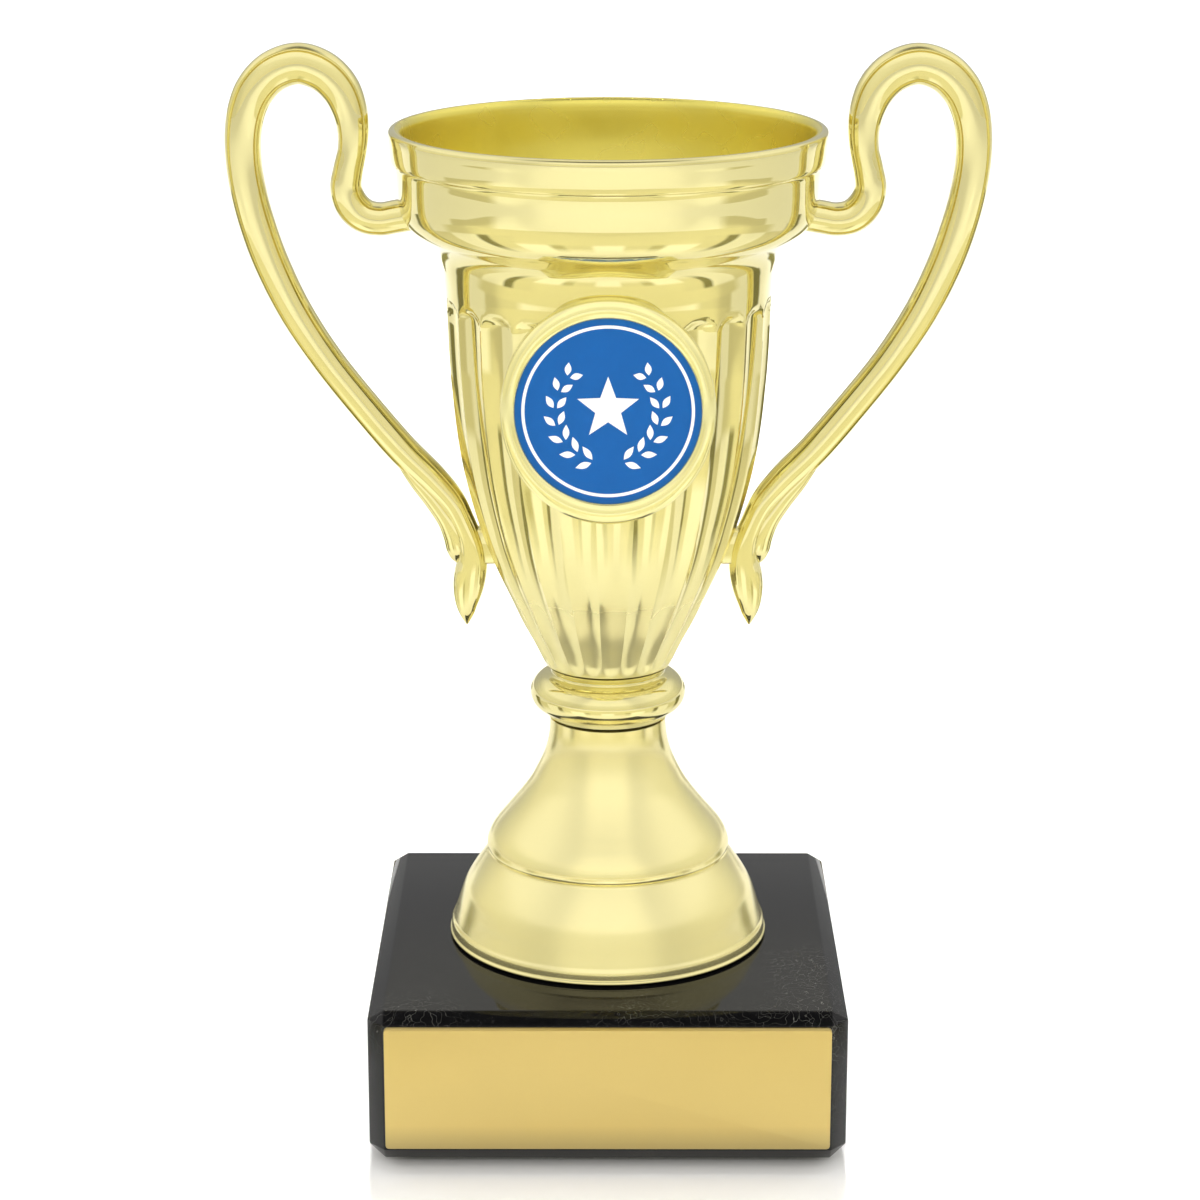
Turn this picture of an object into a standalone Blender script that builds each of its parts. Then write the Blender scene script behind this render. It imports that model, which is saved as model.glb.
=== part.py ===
"""Cup trophy: fluted metallised cup with two scroll handles and a round front
insert, on a flared foot and a chamfered marble block.

Metres, +Z up, origin at the centre of the underside, front facing -Y.
Heights called "above the block" are measured from the marble's top face.
"""
import math

import bmesh
import bpy
import numpy as np
from mathutils import Matrix, Vector

# ---------------------------------------------------------------- sizes
REST_GAP = 0.0003            # between pieces that rest on or fit each other
THIN_GAP = 0.00015           # either side of a layer of adhesive tape

# marble block and the felt under it
BASE_WIDTH = 0.0600
BASE_DEPTH = 0.0600
BASE_HEIGHT = 0.0200
BASE_CHAMFER = 0.0020        # seen from above, on every edge
BASE_TOP_CHAMFER = 0.0012    # its height at the top edges
FELT_THICKNESS = 0.0007
FELT_INSET = 0.0022          # felt edge inside the block's flat underside

# engraving plate on the front of the block
PLATE_MARGIN = 0.0002        # inside the block's flat front face
PLATE_LOW_MARGIN = 0.0005    # the same along its lower edge
PLATE_THICKNESS = 0.0004
PLATE_CORNER = 0.0004
TAPE_THICKNESS = 0.0002
TAPE_MARGIN = 0.0020

# tie rod and its fasteners
ROD_DIAMETER = 0.0040
ROD_HOLE_CLEARANCE = 0.0006
ROD_END_SPARE = 0.0015       # rod showing past each nut
NUT_FLATS = 0.0070
NUT_THICKNESS = 0.0032
NUT_BORE_CLEARANCE = 0.0006
WASHER_DIAMETER = 0.0090
WASHER_THICKNESS = 0.0008
BASE_WASHER_DIAMETER = 0.0120
BASE_WASHER_THICKNESS = 0.0010
LOCK_WASHER_DIAMETER = 0.0072
LOCK_WASHER_THICKNESS = 0.0009
COUNTERBORE_DIAMETER = 0.0170
COUNTERBORE_DEPTH = 0.0085

# flared foot
FOOT_HEIGHT = 0.0293
FOOT_RADIUS = 0.0206
FOOT_LIP = 0.0002            # thin lip standing out at the bottom edge
FOOT_FLANGE_HEIGHT = 0.0016
FOOT_STEP_RADIUS = 0.0158    # ring between the lower and the upper bell
FOOT_STEP_HEIGHT = 0.0116
FOOT_STEP_GROOVE = 0.0004    # height of the line under the ring
FOOT_STEP_BAND = 0.0012      # upright part of the ring
FOOT_NECK_RADIUS = 0.0075
FOOT_WALL = 0.0015

# collar between foot and bowl
COLLAR_RING_RADIUS = 0.0077  # centre line of the round ring
COLLAR_RING_SECTION = 0.00235
COLLAR_UNDER_HEIGHT = 0.0008 # plain band under the ring
COLLAR_NECK_HEIGHT = 0.0013  # hollow neck over the ring
SPIGOT_RADIUS = 0.0040
SPIGOT_LENGTH = 0.0014

# cup bowl
BOWL_HEIGHT = 0.0691
BOWL_RIM_RADIUS = 0.0273
BOWL_BODY_RADIUS = 0.0203    # at the top of the flutes
BOWL_BOTTOM_RADIUS = 0.0081
BOWL_WALL = 0.0013
BOWL_FLOOR = 0.0022
LIP_ROUNDING = 0.0003        # drop of the lip's inner edge
FLUTE_COUNT = 24
FLUTE_DEPTH = 0.00045
FLUTE_TURN = math.radians(10.3)   # ridge nearest the front, to its right
FLUTE_TOP = 0.0468           # above the bowl's bottom
FLUTE_FADE = 0.0030          # height over which a flute's ends run out

# handles
HANDLE_THICKNESS = 0.0046    # front to back
HANDLE_PEG_RADIUS = 0.0011
HANDLE_PEG_CLEARANCE = 0.0003
HANDLE_PEG_REACH = 0.0022    # into the bowl, past its outer face
HANDLE_PEG_ROOT = 0.0014     # outwards, into the strap
HANDLE_SEAT_SHARE = 0.515    # where it meets the shoulder, flute tops to rim
HANDLE_LOWER_PEG = 0.0155    # above the bowl's bottom
THUMB_SHARE = 0.74           # thickness of the small outer leaf, of the strap's
STRAP_THIN_BELOW = 0.0015    # half width under which the strap also thins
LUG_HEIGHT = 0.0046
LUG_THICKNESS = 0.0024
LUG_REACH = 0.0021           # from the bowl to the middle of the strap

# round insert on the front
HOLDER_BORDER = 0.00145      # rounded frame beside the insert
HOLDER_BORDER_UPRIGHT = 0.00205   # the same above and below it
HOLDER_LEVEL = 0.0382        # its centre above the bowl's bottom
HOLDER_STANDOFF = 0.0030     # its face in front of the bowl, at the centre
HOLDER_TILT = math.radians(4.0)
HOLDER_RECESS_DEPTH = 0.0013
HOLDER_LIP_HEIGHT = 0.0003
HOLDER_PEG_RADIUS = 0.0010
HOLDER_PEG_SPACING = 0.0120
HOLDER_PEG_REACH = 0.0018
INSERT_RADIUS = 0.01125
INSERT_CLEARANCE = 0.0003
INSERT_THICKNESS = 0.0007

# cutters and facets
CUTTER_REACH = 0.0040        # either side of a wall that is drilled
ROUND_STEPS = 36
SMALL_STEPS = 24
PEG_STEPS = 14
STEPS_PER_FLUTE = 3

# ---------------------------------------------------------------- levels
COLLAR_RING_LEVEL = COLLAR_UNDER_HEIGHT + COLLAR_RING_SECTION
COLLAR_HEIGHT = COLLAR_RING_LEVEL + COLLAR_RING_SECTION + COLLAR_NECK_HEIGHT
BASE_BOTTOM = FELT_THICKNESS + REST_GAP
BASE_TOP = BASE_BOTTOM + BASE_HEIGHT
FOOT_BOTTOM = BASE_TOP + REST_GAP
FOOT_TOP = FOOT_BOTTOM + FOOT_HEIGHT
COLLAR_BOTTOM = FOOT_TOP + REST_GAP
COLLAR_TOP = COLLAR_BOTTOM + COLLAR_HEIGHT
BOWL_BOTTOM = COLLAR_TOP + REST_GAP
BOWL_TOP = BOWL_BOTTOM + BOWL_HEIGHT
BOWL_INSIDE_FLOOR = BOWL_BOTTOM + BOWL_FLOOR
HANDLE_UPPER_PEG = FLUTE_TOP + (BOWL_HEIGHT - FLUTE_TOP) * HANDLE_SEAT_SHARE
HOLDER_CENTRE_LEVEL = BOWL_BOTTOM + HOLDER_LEVEL
INSERT_RECESS_RADIUS = INSERT_RADIUS + INSERT_CLEARANCE
HOLDER_HALF_WIDTH = INSERT_RECESS_RADIUS + HOLDER_BORDER
HOLDER_HALF_HEIGHT = INSERT_RECESS_RADIUS + HOLDER_BORDER_UPRIGHT
ROD_RADIUS = ROD_DIAMETER / 2
ROD_HOLE_RADIUS = ROD_RADIUS + ROD_HOLE_CLEARANCE / 2

GOLD = (0.93, 0.84, 0.45, 1.0)
MATERIALS = {
    "gold_foil_plastic": (GOLD, 1.0, 0.12),
    "gold_foil_foot": ((0.95, 0.86, 0.50, 1.0), 1.0, 0.2),
    "gold_foil_holder": ((0.94, 0.86, 0.50, 1.0), 1.0, 0.18),
    "black_marble": ((0.02, 0.02, 0.022, 1.0), 0.0, 0.1),
    "black_felt": ((0.015, 0.015, 0.015, 1.0), 0.0, 0.95),
    "gold_aluminium": ((0.72, 0.58, 0.30, 1.0), 1.0, 0.3),
    "clear_tape": ((0.8, 0.8, 0.78, 1.0), 0.0, 0.6),
    "blue_print": ((0.03, 0.13, 0.47, 1.0), 0.0, 0.35),
    "zinc_steel": ((0.62, 0.62, 0.60, 1.0), 1.0, 0.35),
}


# ---------------------------------------------------------------- helpers
def clear_scene():
    for old in list(bpy.data.objects):
        bpy.data.objects.remove(old, do_unlink=True)


def material(slot):
    found = bpy.data.materials.get(slot)
    if found:
        return found
    colour, metallic, roughness = MATERIALS[slot]
    made = bpy.data.materials.new(slot)
    made.use_nodes = True
    shader = made.node_tree.nodes["Principled BSDF"]
    shader.inputs["Base Color"].default_value = colour
    shader.inputs["Metallic"].default_value = metallic
    shader.inputs["Roughness"].default_value = roughness
    return made


def finish(name, bm, slot=None, smooth=False):
    """Turn a bmesh into a named object, faces pointing out."""
    bmesh.ops.recalc_face_normals(bm, faces=bm.faces[:])
    mesh = bpy.data.meshes.new(name)
    bm.to_mesh(mesh)
    bm.free()
    made = bpy.data.objects.new(name, mesh)
    bpy.context.scene.collection.objects.link(made)
    if slot:
        mesh.materials.append(material(slot))
    if smooth:
        mesh.shade_smooth()
        mesh.set_sharp_from_angle(angle=math.radians(32))
    return made


def guide(made):
    """A piece used only to shape another one."""
    made.hide_render = True
    made.display_type = "WIRE"
    return made


def shape_with(target, tool, operation):
    step = target.modifiers.new(operation.lower(), "BOOLEAN")
    step.operation = operation
    step.solver = "EXACT"
    step.object = guide(tool)


def turned_bmesh(profile, steps, turn=0.0):
    """Spin a closed (radius, height) outline round Z."""
    bm = bmesh.new()
    points = [bm.verts.new((radius, 0.0, height)) for radius, height in profile]
    edges = [bm.edges.new(pair) for pair in zip(points, points[1:] + points[:1])]
    bmesh.ops.spin(bm, geom=points + edges, cent=(0, 0, 0), axis=(0, 0, 1),
                   angle=math.tau, steps=steps, use_merge=True)
    bmesh.ops.remove_doubles(bm, verts=bm.verts[:], dist=1e-7)
    bmesh.ops.rotate(bm, cent=(0, 0, 0), matrix=Matrix.Rotation(turn, 3, "Z"),
                     verts=bm.verts[:])
    return bm


def round_bar(name, radius, start, end, steps=SMALL_STEPS):
    """A plain cylinder between two points."""
    run = Vector(end) - Vector(start)
    place = Matrix.Translation((Vector(start) + Vector(end)) / 2)
    turn = run.to_track_quat("Z", "Y").to_matrix().to_4x4()
    bm = bmesh.new()
    bmesh.ops.create_cone(bm, cap_ends=True, segments=steps, radius1=radius,
                          radius2=radius, depth=run.length, matrix=place @ turn)
    return finish(name, bm)


def block_bmesh(low, high):
    bm = bmesh.new()
    size = [b - a for a, b in zip(low, high)]
    middle = [(a + b) / 2 for a, b in zip(low, high)]
    place = Matrix.Translation(middle) @ Matrix.Diagonal((*size, 1.0))
    bmesh.ops.create_cube(bm, size=1.0, matrix=place)
    return bm


def through_points(points, per_span):
    """Catmull-Rom curve through rows of numbers, chord-length spaced."""
    rows = np.array(points, dtype=float)
    rows = np.vstack([2 * rows[0] - rows[1], rows, 2 * rows[-1] - rows[-2]])
    steps = np.linalg.norm(np.diff(rows[:, :2], axis=0), axis=1) ** 0.5
    knots = np.concatenate([[0.0], np.cumsum(steps)])
    found = []
    for i in range(1, len(rows) - 2):
        t0, t1, t2, t3 = knots[i - 1:i + 3]
        p0, p1, p2, p3 = rows[i - 1:i + 3]
        for t in np.linspace(t1, t2, per_span, endpoint=False):
            a1 = ((t1 - t) * p0 + (t - t0) * p1) / (t1 - t0)
            a2 = ((t2 - t) * p1 + (t - t1) * p2) / (t2 - t1)
            a3 = ((t3 - t) * p2 + (t - t2) * p3) / (t3 - t2)
            b1 = ((t2 - t) * a1 + (t - t0) * a2) / (t2 - t0)
            b2 = ((t3 - t) * a2 + (t - t1) * a3) / (t3 - t1)
            found.append(((t2 - t) * b1 + (t - t1) * b2) / (t2 - t1))
    found.append(rows[-2])
    return np.array(found)


# ---------------------------------------------------------------- block
def marble_base():
    half_w = BASE_WIDTH / 2
    half_d = BASE_DEPTH / 2
    corners = []
    for sx in (-1, 1):
        for sy in (-1, 1):
            for edge, level in ((BASE_BOTTOM, BASE_BOTTOM + BASE_CHAMFER),
                                (BASE_TOP, BASE_TOP - BASE_TOP_CHAMFER)):
                in_x = sx * (half_w - BASE_CHAMFER)
                in_y = sy * (half_d - BASE_CHAMFER)
                corners.append((sx * half_w, in_y, level))
                corners.append((in_x, sy * half_d, level))
                corners.append((in_x, in_y, edge))
    bm = bmesh.new()
    for corner in corners:
        bm.verts.new(corner)
    bmesh.ops.convex_hull(bm, input=bm.verts[:])
    block = finish("marble_base", bm, "black_marble")
    hole = round_bar("rod_hole_cutter", ROD_HOLE_RADIUS,
                     (0, 0, BASE_BOTTOM - REST_GAP), (0, 0, BASE_TOP + REST_GAP))
    bore = round_bar("counterbore_cutter", COUNTERBORE_DIAMETER / 2,
                     (0, 0, BASE_BOTTOM - REST_GAP),
                     (0, 0, BASE_BOTTOM + COUNTERBORE_DEPTH), ROUND_STEPS)
    shape_with(block, bore, "DIFFERENCE")
    shape_with(block, hole, "DIFFERENCE")


def base_felt():
    half_x = BASE_WIDTH / 2 - BASE_CHAMFER - FELT_INSET
    half_y = BASE_DEPTH / 2 - BASE_CHAMFER - FELT_INSET
    bm = block_bmesh((-half_x, -half_y, 0), (half_x, half_y, FELT_THICKNESS))
    finish("base_felt", bm, "black_felt")


def plate_and_tape():
    half_x = BASE_WIDTH / 2 - BASE_CHAMFER - PLATE_MARGIN
    low_z = BASE_BOTTOM + BASE_CHAMFER + PLATE_LOW_MARGIN
    high_z = BASE_TOP - BASE_TOP_CHAMFER - PLATE_MARGIN
    tape_back = -BASE_DEPTH / 2 - THIN_GAP
    tape_front = tape_back - TAPE_THICKNESS
    plate_back = tape_front - THIN_GAP
    bm = block_bmesh((-half_x, plate_back - PLATE_THICKNESS, low_z),
                     (half_x, plate_back, high_z))
    ends = [e for e in bm.edges if abs(e.verts[0].co.y - e.verts[1].co.y) > PLATE_THICKNESS / 2]
    bmesh.ops.bevel(bm, geom=ends, offset=PLATE_CORNER, segments=3, profile=0.5,
                    affect="EDGES")
    finish("engraving_plate", bm, "gold_aluminium")
    bm = block_bmesh((TAPE_MARGIN - half_x, tape_front, low_z + TAPE_MARGIN),
                     (half_x - TAPE_MARGIN, tape_back, high_z - TAPE_MARGIN))
    finish("plate_adhesive", bm, "clear_tape")


# ---------------------------------------------------------------- foot
def foot_outline():
    """Outer side of the foot, bottom to top, heights above its bottom."""
    lip = FOOT_RADIUS + FOOT_LIP
    step = FOOT_STEP_HEIGHT
    flange = FOOT_FLANGE_HEIGHT
    rise = step - flange
    reach = FOOT_RADIUS - FOOT_STEP_RADIUS
    outline = [(lip, 0.0), (lip, flange * 0.25), (FOOT_RADIUS, flange * 0.3),
               (FOOT_RADIUS, flange), (FOOT_RADIUS - FOOT_LIP * 2, flange * 1.1)]
    # convex lower bell: a quarter of a rounded curve from flange to step
    for share in (0.2, 0.4, 0.6, 0.78, 0.92, 1.0):
        bulge = share ** 1.75
        outline.append((FOOT_RADIUS - FOOT_LIP * 2 - (reach - FOOT_LIP) * bulge,
                        flange + rise * share))
    # stepped ring, then the hollow curve up to the neck
    band_low = step + FOOT_STEP_GROOVE
    outline.append((FOOT_STEP_RADIUS, band_low))
    outline.append((FOOT_STEP_RADIUS, band_low + FOOT_STEP_BAND))
    span = FOOT_HEIGHT - step
    flare = FOOT_STEP_RADIUS - FOOT_NECK_RADIUS
    for share, out in ((0.165, 0.89), (0.25, 0.73), (0.335, 0.585), (0.42, 0.44),
                       (0.5, 0.315), (0.59, 0.22), (0.67, 0.14), (0.76, 0.07),
                       (0.85, 0.02), (1.0, 0.0)):
        outline.append((FOOT_NECK_RADIUS + flare * out, step + span * share))
    return outline


def stem_foot():
    outer = [(r, FOOT_BOTTOM + z) for r, z in foot_outline()]
    socket = SPIGOT_RADIUS + REST_GAP
    socket_floor = FOOT_TOP - SPIGOT_LENGTH - REST_GAP
    ceiling = socket_floor - FOOT_WALL
    step_level = FOOT_BOTTOM + FOOT_STEP_HEIGHT
    inner = [(socket, FOOT_TOP), (socket, socket_floor),
             (ROD_HOLE_RADIUS, socket_floor), (ROD_HOLE_RADIUS, ceiling),
             (FOOT_NECK_RADIUS - FOOT_WALL, ceiling)]
    for r, z in reversed(outer[::2]):
        if FOOT_BOTTOM + FOOT_FLANGE_HEIGHT < z < ceiling - FOOT_WALL:
            if abs(z - step_level) > FOOT_WALL:
                inner.append((r - FOOT_WALL * 1.15, z - FOOT_WALL * 0.5))
    inner.append((FOOT_RADIUS - FOOT_WALL, FOOT_BOTTOM))
    bm = turned_bmesh(outer + inner, ROUND_STEPS)
    finish("stem_foot", bm, "gold_foil_foot", smooth=True)


# ---------------------------------------------------------------- collar
def collar_ring():
    low = COLLAR_BOTTOM
    tube = COLLAR_RING_SECTION
    level = low + COLLAR_RING_LEVEL
    outline = [(SPIGOT_RADIUS, low - SPIGOT_LENGTH), (SPIGOT_RADIUS, low),
               (COLLAR_RING_RADIUS + tube * 0.05, low),
               (COLLAR_RING_RADIUS + tube * 0.05, low + COLLAR_UNDER_HEIGHT * 0.9)]
    for i in range(9):
        turn = math.radians(-84 + i * 21)
        outline.append((COLLAR_RING_RADIUS + tube * math.cos(turn),
                        level + tube * math.sin(turn)))
    neck = COLLAR_RING_RADIUS - tube * 0.2
    outline.append((neck, COLLAR_TOP - COLLAR_NECK_HEIGHT * 0.8))
    outline.append((neck, COLLAR_TOP - COLLAR_NECK_HEIGHT * 0.45))
    outline.append((BOWL_BOTTOM_RADIUS - REST_GAP, COLLAR_TOP))
    socket = SPIGOT_RADIUS + REST_GAP
    outline.append((socket, COLLAR_TOP))
    outline.append((socket, COLLAR_TOP - SPIGOT_LENGTH - REST_GAP))
    outline.append((ROD_HOLE_RADIUS, COLLAR_TOP - SPIGOT_LENGTH - REST_GAP))
    outline.append((ROD_HOLE_RADIUS, low - SPIGOT_LENGTH))
    bm = turned_bmesh(outline, ROUND_STEPS)
    finish("collar_ring", bm, "gold_foil_plastic", smooth=True)


# ---------------------------------------------------------------- bowl
def bowl_outline():
    """Outer side of the bowl over its ridges, heights above its bottom."""
    body = BOWL_BODY_RADIUS
    bottom = BOWL_BOTTOM_RADIUS
    rim = BOWL_RIM_RADIUS
    swell = body - bottom
    outline = []
    # fluted part: nearly straight flanks that round over into a steep wall
    for share, out in ((0.0, 0.0), (0.055, 0.11), (0.12, 0.245), (0.245, 0.465),
                       (0.37, 0.655), (0.50, 0.805), (0.63, 0.905),
                       (0.76, 0.962), (0.89, 0.99), (1.0, 1.0)):
        outline.append((bottom + swell * out, FLUTE_TOP * share))
    # plain band, cove and shoulder under the rim
    spread = rim - body
    rise = BOWL_HEIGHT - FLUTE_TOP
    for share, out in ((0.15, 0.06), (0.25, 0.11), (0.32, 0.20), (0.37, 0.34),
                       (0.43, 0.56), (0.50, 0.74), (0.59, 0.84), (0.70, 0.87),
                       (0.755, 0.885), (0.78, 0.945), (0.86, 0.99), (0.96, 1.0),
                       (0.99, 0.965)):
        outline.append((body + spread * out, FLUTE_TOP + rise * share))
    return outline


def outer_radius(level):
    """Bowl's outer radius at a world height, over the ridges."""
    outline = bowl_outline()
    heights = [BOWL_BOTTOM + z for r, z in outline]
    radii = [r for r, z in outline]
    return float(np.interp(level, heights, radii))


def flute_fade(height):
    """1 where the flutes are full depth, 0 past their ends."""
    up = np.clip((FLUTE_TOP - height) / FLUTE_FADE, 0.0, 1.0)
    down = np.clip(height / FLUTE_FADE, 0.0, 1.0)
    return float(math.sin(up * math.pi / 2) * down)


def bowl_envelope(name, growth):
    """The bowl's filled outer shape, grown, for cutting what sits on it."""
    outline = [(r + growth, BOWL_BOTTOM + z) for r, z in bowl_outline()]
    outline = [(0.0, outline[0][1] - growth)] + outline + [(0.0, BOWL_TOP + growth)]
    bm = bmesh.new()
    points = [bm.verts.new((r, 0.0, z)) for r, z in outline]
    edges = [bm.edges.new(pair) for pair in zip(points, points[1:])]
    bmesh.ops.spin(bm, geom=points + edges, cent=(0, 0, 0), axis=(0, 0, 1),
                   angle=math.tau, steps=FLUTE_COUNT * STEPS_PER_FLUTE, use_merge=True)
    bmesh.ops.remove_doubles(bm, verts=bm.verts[:], dist=1e-7)
    bmesh.ops.rotate(bm, cent=(0, 0, 0), verts=bm.verts[:],
                     matrix=Matrix.Rotation(FLUTE_TURN - math.pi / 2, 3, "Z"))
    return finish(name, bm)


def cup_bowl():
    outline = bowl_outline()
    outer = [(r, BOWL_BOTTOM + z) for r, z in outline]
    crest = BOWL_RIM_RADIUS - BOWL_WALL * 0.6
    inner = [(crest, BOWL_TOP), (BOWL_RIM_RADIUS - BOWL_WALL * 1.15, BOWL_TOP - LIP_ROUNDING)]
    picked = [row for row in outline if row[1] > BOWL_FLOOR + BOWL_WALL]
    for r, z in reversed(picked[::3]):
        if z < BOWL_HEIGHT - BOWL_WALL:
            slope = BOWL_WALL * (1.25 if z < FLUTE_TOP * 0.6 else 1.0)
            inner.append((r - slope - FLUTE_DEPTH, BOWL_BOTTOM + z))
    inner.append((outer_radius(BOWL_INSIDE_FLOOR) - BOWL_WALL * 1.4 - FLUTE_DEPTH,
                  BOWL_INSIDE_FLOOR))
    inner.append((ROD_HOLE_RADIUS, BOWL_INSIDE_FLOOR))
    inner.append((ROD_HOLE_RADIUS, BOWL_BOTTOM - SPIGOT_LENGTH))
    inner.append((SPIGOT_RADIUS, BOWL_BOTTOM - SPIGOT_LENGTH))
    inner.append((SPIGOT_RADIUS, BOWL_BOTTOM))
    bm = turned_bmesh(outer + inner, FLUTE_COUNT * STEPS_PER_FLUTE,
                      FLUTE_TURN - math.pi / 2)
    for vert in bm.verts:
        radius = math.hypot(vert.co.x, vert.co.y)
        if abs(radius - outer_radius(vert.co.z)) > 1e-6:
            continue
        angle = math.atan2(vert.co.y, vert.co.x) - FLUTE_TURN
        hollow = abs(math.sin(FLUTE_COUNT * (angle + math.pi / 2) / 2))
        depth = FLUTE_DEPTH * hollow * flute_fade(vert.co.z - BOWL_BOTTOM)
        vert.co.x *= (radius - depth) / radius
        vert.co.y *= (radius - depth) / radius
    bowl = finish("cup_bowl", bm, "gold_foil_plastic", smooth=True)
    hole = HANDLE_PEG_RADIUS + HANDLE_PEG_CLEARANCE
    for rise, tag in ((HANDLE_UPPER_PEG, "upper"), (HANDLE_LOWER_PEG, "lower")):
        level = BOWL_BOTTOM + rise
        reach = outer_radius(level)
        for side in (-1, 1):
            bar = round_bar(f"{tag}_peg_hole_{side}", hole,
                            (side * (reach - CUTTER_REACH), 0, level),
                            (side * (reach + CUTTER_REACH), 0, level), PEG_STEPS)
            shape_with(bowl, bar, "DIFFERENCE")
    for level in holder_peg_levels():
        reach = outer_radius(level)
        bar = round_bar("holder_peg_hole", HOLDER_PEG_RADIUS + REST_GAP,
                        (0, -reach + CUTTER_REACH, level),
                        (0, -reach - CUTTER_REACH, level), PEG_STEPS)
        shape_with(bowl, bar, "DIFFERENCE")


# ---------------------------------------------------------------- handles
def descent_spot(out, share):
    """A point outside the line from the rim to the lug's seat on the bowl."""
    foot = outer_radius(BOWL_BOTTOM + HANDLE_LOWER_PEG)
    reach = BOWL_RIM_RADIUS + (foot - BOWL_RIM_RADIUS) * min(share, 1.0)
    drop = HANDLE_UPPER_PEG - HANDLE_LOWER_PEG
    return reach + out, BOWL_BOTTOM + HANDLE_UPPER_PEG - drop * share


def handle_path():
    """Centre line (from the axis, world height) and half width."""
    seat = BOWL_BOTTOM + HANDLE_UPPER_PEG
    rim = BOWL_RIM_RADIUS
    rows = [(outer_radius(seat) - BOWL_WALL, seat, 0.00205)]
    # hook away from the shoulder, then the arch: outside the rim, above the seat
    for out, rise, half in (
            (-0.0008, -0.0004, 0.00205), (0.0011, -0.0007, 0.00205),
            (0.0031, -0.0003, 0.0021), (0.0046, 0.0011, 0.0021),
            (0.0053, 0.0032, 0.0020), (0.0050, 0.0054, 0.0019),
            (0.0044, 0.0082, 0.00185), (0.0043, 0.0107, 0.0020),
            (0.0047, 0.0131, 0.0022), (0.0058, 0.0156, 0.0024),
            (0.0078, 0.0176, 0.0025), (0.0108, 0.0186, 0.00255),
            (0.0139, 0.0177, 0.00255), (0.0161, 0.0156, 0.0025),
            (0.0173, 0.0131, 0.0024), (0.0179, 0.0100, 0.0023),
            (0.0179, 0.0062, 0.00225)):
        rows.append((rim + out, seat + rise, half))
    # long sweep down to the pointed leaf
    for out, share, half in (
            (0.0167, -0.05, 0.00225), (0.0168, 0.05, 0.00225),
            (0.0165, 0.152, 0.0022), (0.0154, 0.29, 0.0021),
            (0.0133, 0.432, 0.0020), (0.0103, 0.577, 0.0020),
            (0.0072, 0.708, 0.0020), (0.0045, 0.797, 0.0019),
            (0.0029, 0.864, 0.0017), (0.0023, 0.928, 0.0015),
            (0.0021, 0.993, 0.0016), (0.0020, 1.044, 0.0019),
            (0.0023, 1.089, 0.0021), (0.0026, 1.136, 0.0020),
            (0.0028, 1.18, 0.0016), (0.0028, 1.217, 0.0010),
            (0.0028, 1.25, 0.0002)):
        rows.append((*descent_spot(out, share), half))
    return rows


def thumb_path():
    """The small outer leaf that leaves the strap above its end."""
    rows = []
    for out, share, half in (
            (0.0084, 0.752, 0.0007), (0.0066, 0.808, 0.0010),
            (0.0053, 0.864, 0.0010), (0.0046, 0.921, 0.0009),
            (0.0047, 0.974, 0.0008), (0.0046, 1.016, 0.0007),
            (0.0041, 1.051, 0.0002)):
        rows.append((*descent_spot(out, share), half))
    return rows


def swept_strap(path, thickness, side, per_span):
    """A strap with bevelled flanks along a path in the XZ plane."""
    rows = through_points(path, per_span)
    outline = [(-1.0, -0.42), (-0.58, -1.0), (0.58, -1.0), (1.0, -0.42),
               (1.0, 0.42), (0.58, 1.0), (-0.58, 1.0), (-1.0, 0.42)]
    bm = bmesh.new()
    rings = []
    for i, (x, z, half) in enumerate(rows):
        before = rows[max(i - 1, 0)]
        after = rows[min(i + 1, len(rows) - 1)]
        run = Vector((after[0] - before[0], 0, after[1] - before[1])).normalized()
        across = Vector((run.z, 0, -run.x))
        deep = thickness / 2 * min(1.0, 0.35 + 0.65 * half / STRAP_THIN_BELOW)
        ring = []
        for u, v in outline:
            spot = Vector((x, 0, z)) + across * (u * half) + Vector((0, v * deep, 0))
            ring.append(bm.verts.new((side * spot.x, spot.y, spot.z)))
        rings.append(ring)
    for first, second in zip(rings, rings[1:]):
        for k in range(len(outline)):
            n = (k + 1) % len(outline)
            bm.faces.new((first[k], first[n], second[n], second[k]))
    bm.faces.new(rings[0])
    bm.faces.new(rings[-1])
    return bm


def handle(name, side):
    bm = swept_strap(handle_path(), HANDLE_THICKNESS, side, 2)
    strap = finish(name, bm, "gold_foil_plastic", smooth=True)
    thumb = finish(name + "_thumb",
                   swept_strap(thumb_path(), HANDLE_THICKNESS * THUMB_SHARE, side, 1))
    shape_with(strap, thumb, "UNION")
    lug_level = BOWL_BOTTOM + HANDLE_LOWER_PEG
    reach = outer_radius(lug_level)
    leaf = descent_spot(LUG_REACH, 1.0)[0]
    ends = sorted((side * (reach - BOWL_WALL), side * leaf))
    lug = finish(name + "_lug", block_bmesh(
        (ends[0], -LUG_THICKNESS / 2, lug_level - LUG_HEIGHT / 2),
        (ends[1], LUG_THICKNESS / 2, lug_level + LUG_HEIGHT / 2)))
    shape_with(strap, lug, "UNION")
    shape_with(strap, bowl_envelope(name + "_seat", REST_GAP), "DIFFERENCE")
    for rise, tag in ((HANDLE_UPPER_PEG, "upper"), (HANDLE_LOWER_PEG, "lower")):
        level = BOWL_BOTTOM + rise
        reach = outer_radius(level)
        peg = round_bar(f"{name}_{tag}_peg", HANDLE_PEG_RADIUS,
                        (side * (reach - HANDLE_PEG_REACH), 0, level),
                        (side * (reach + HANDLE_PEG_ROOT), 0, level), PEG_STEPS)
        shape_with(strap, peg, "UNION")


# ---------------------------------------------------------------- insert
def holder_peg_levels():
    return [HOLDER_CENTRE_LEVEL - HOLDER_PEG_SPACING / 2,
            HOLDER_CENTRE_LEVEL + HOLDER_PEG_SPACING / 2]


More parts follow.
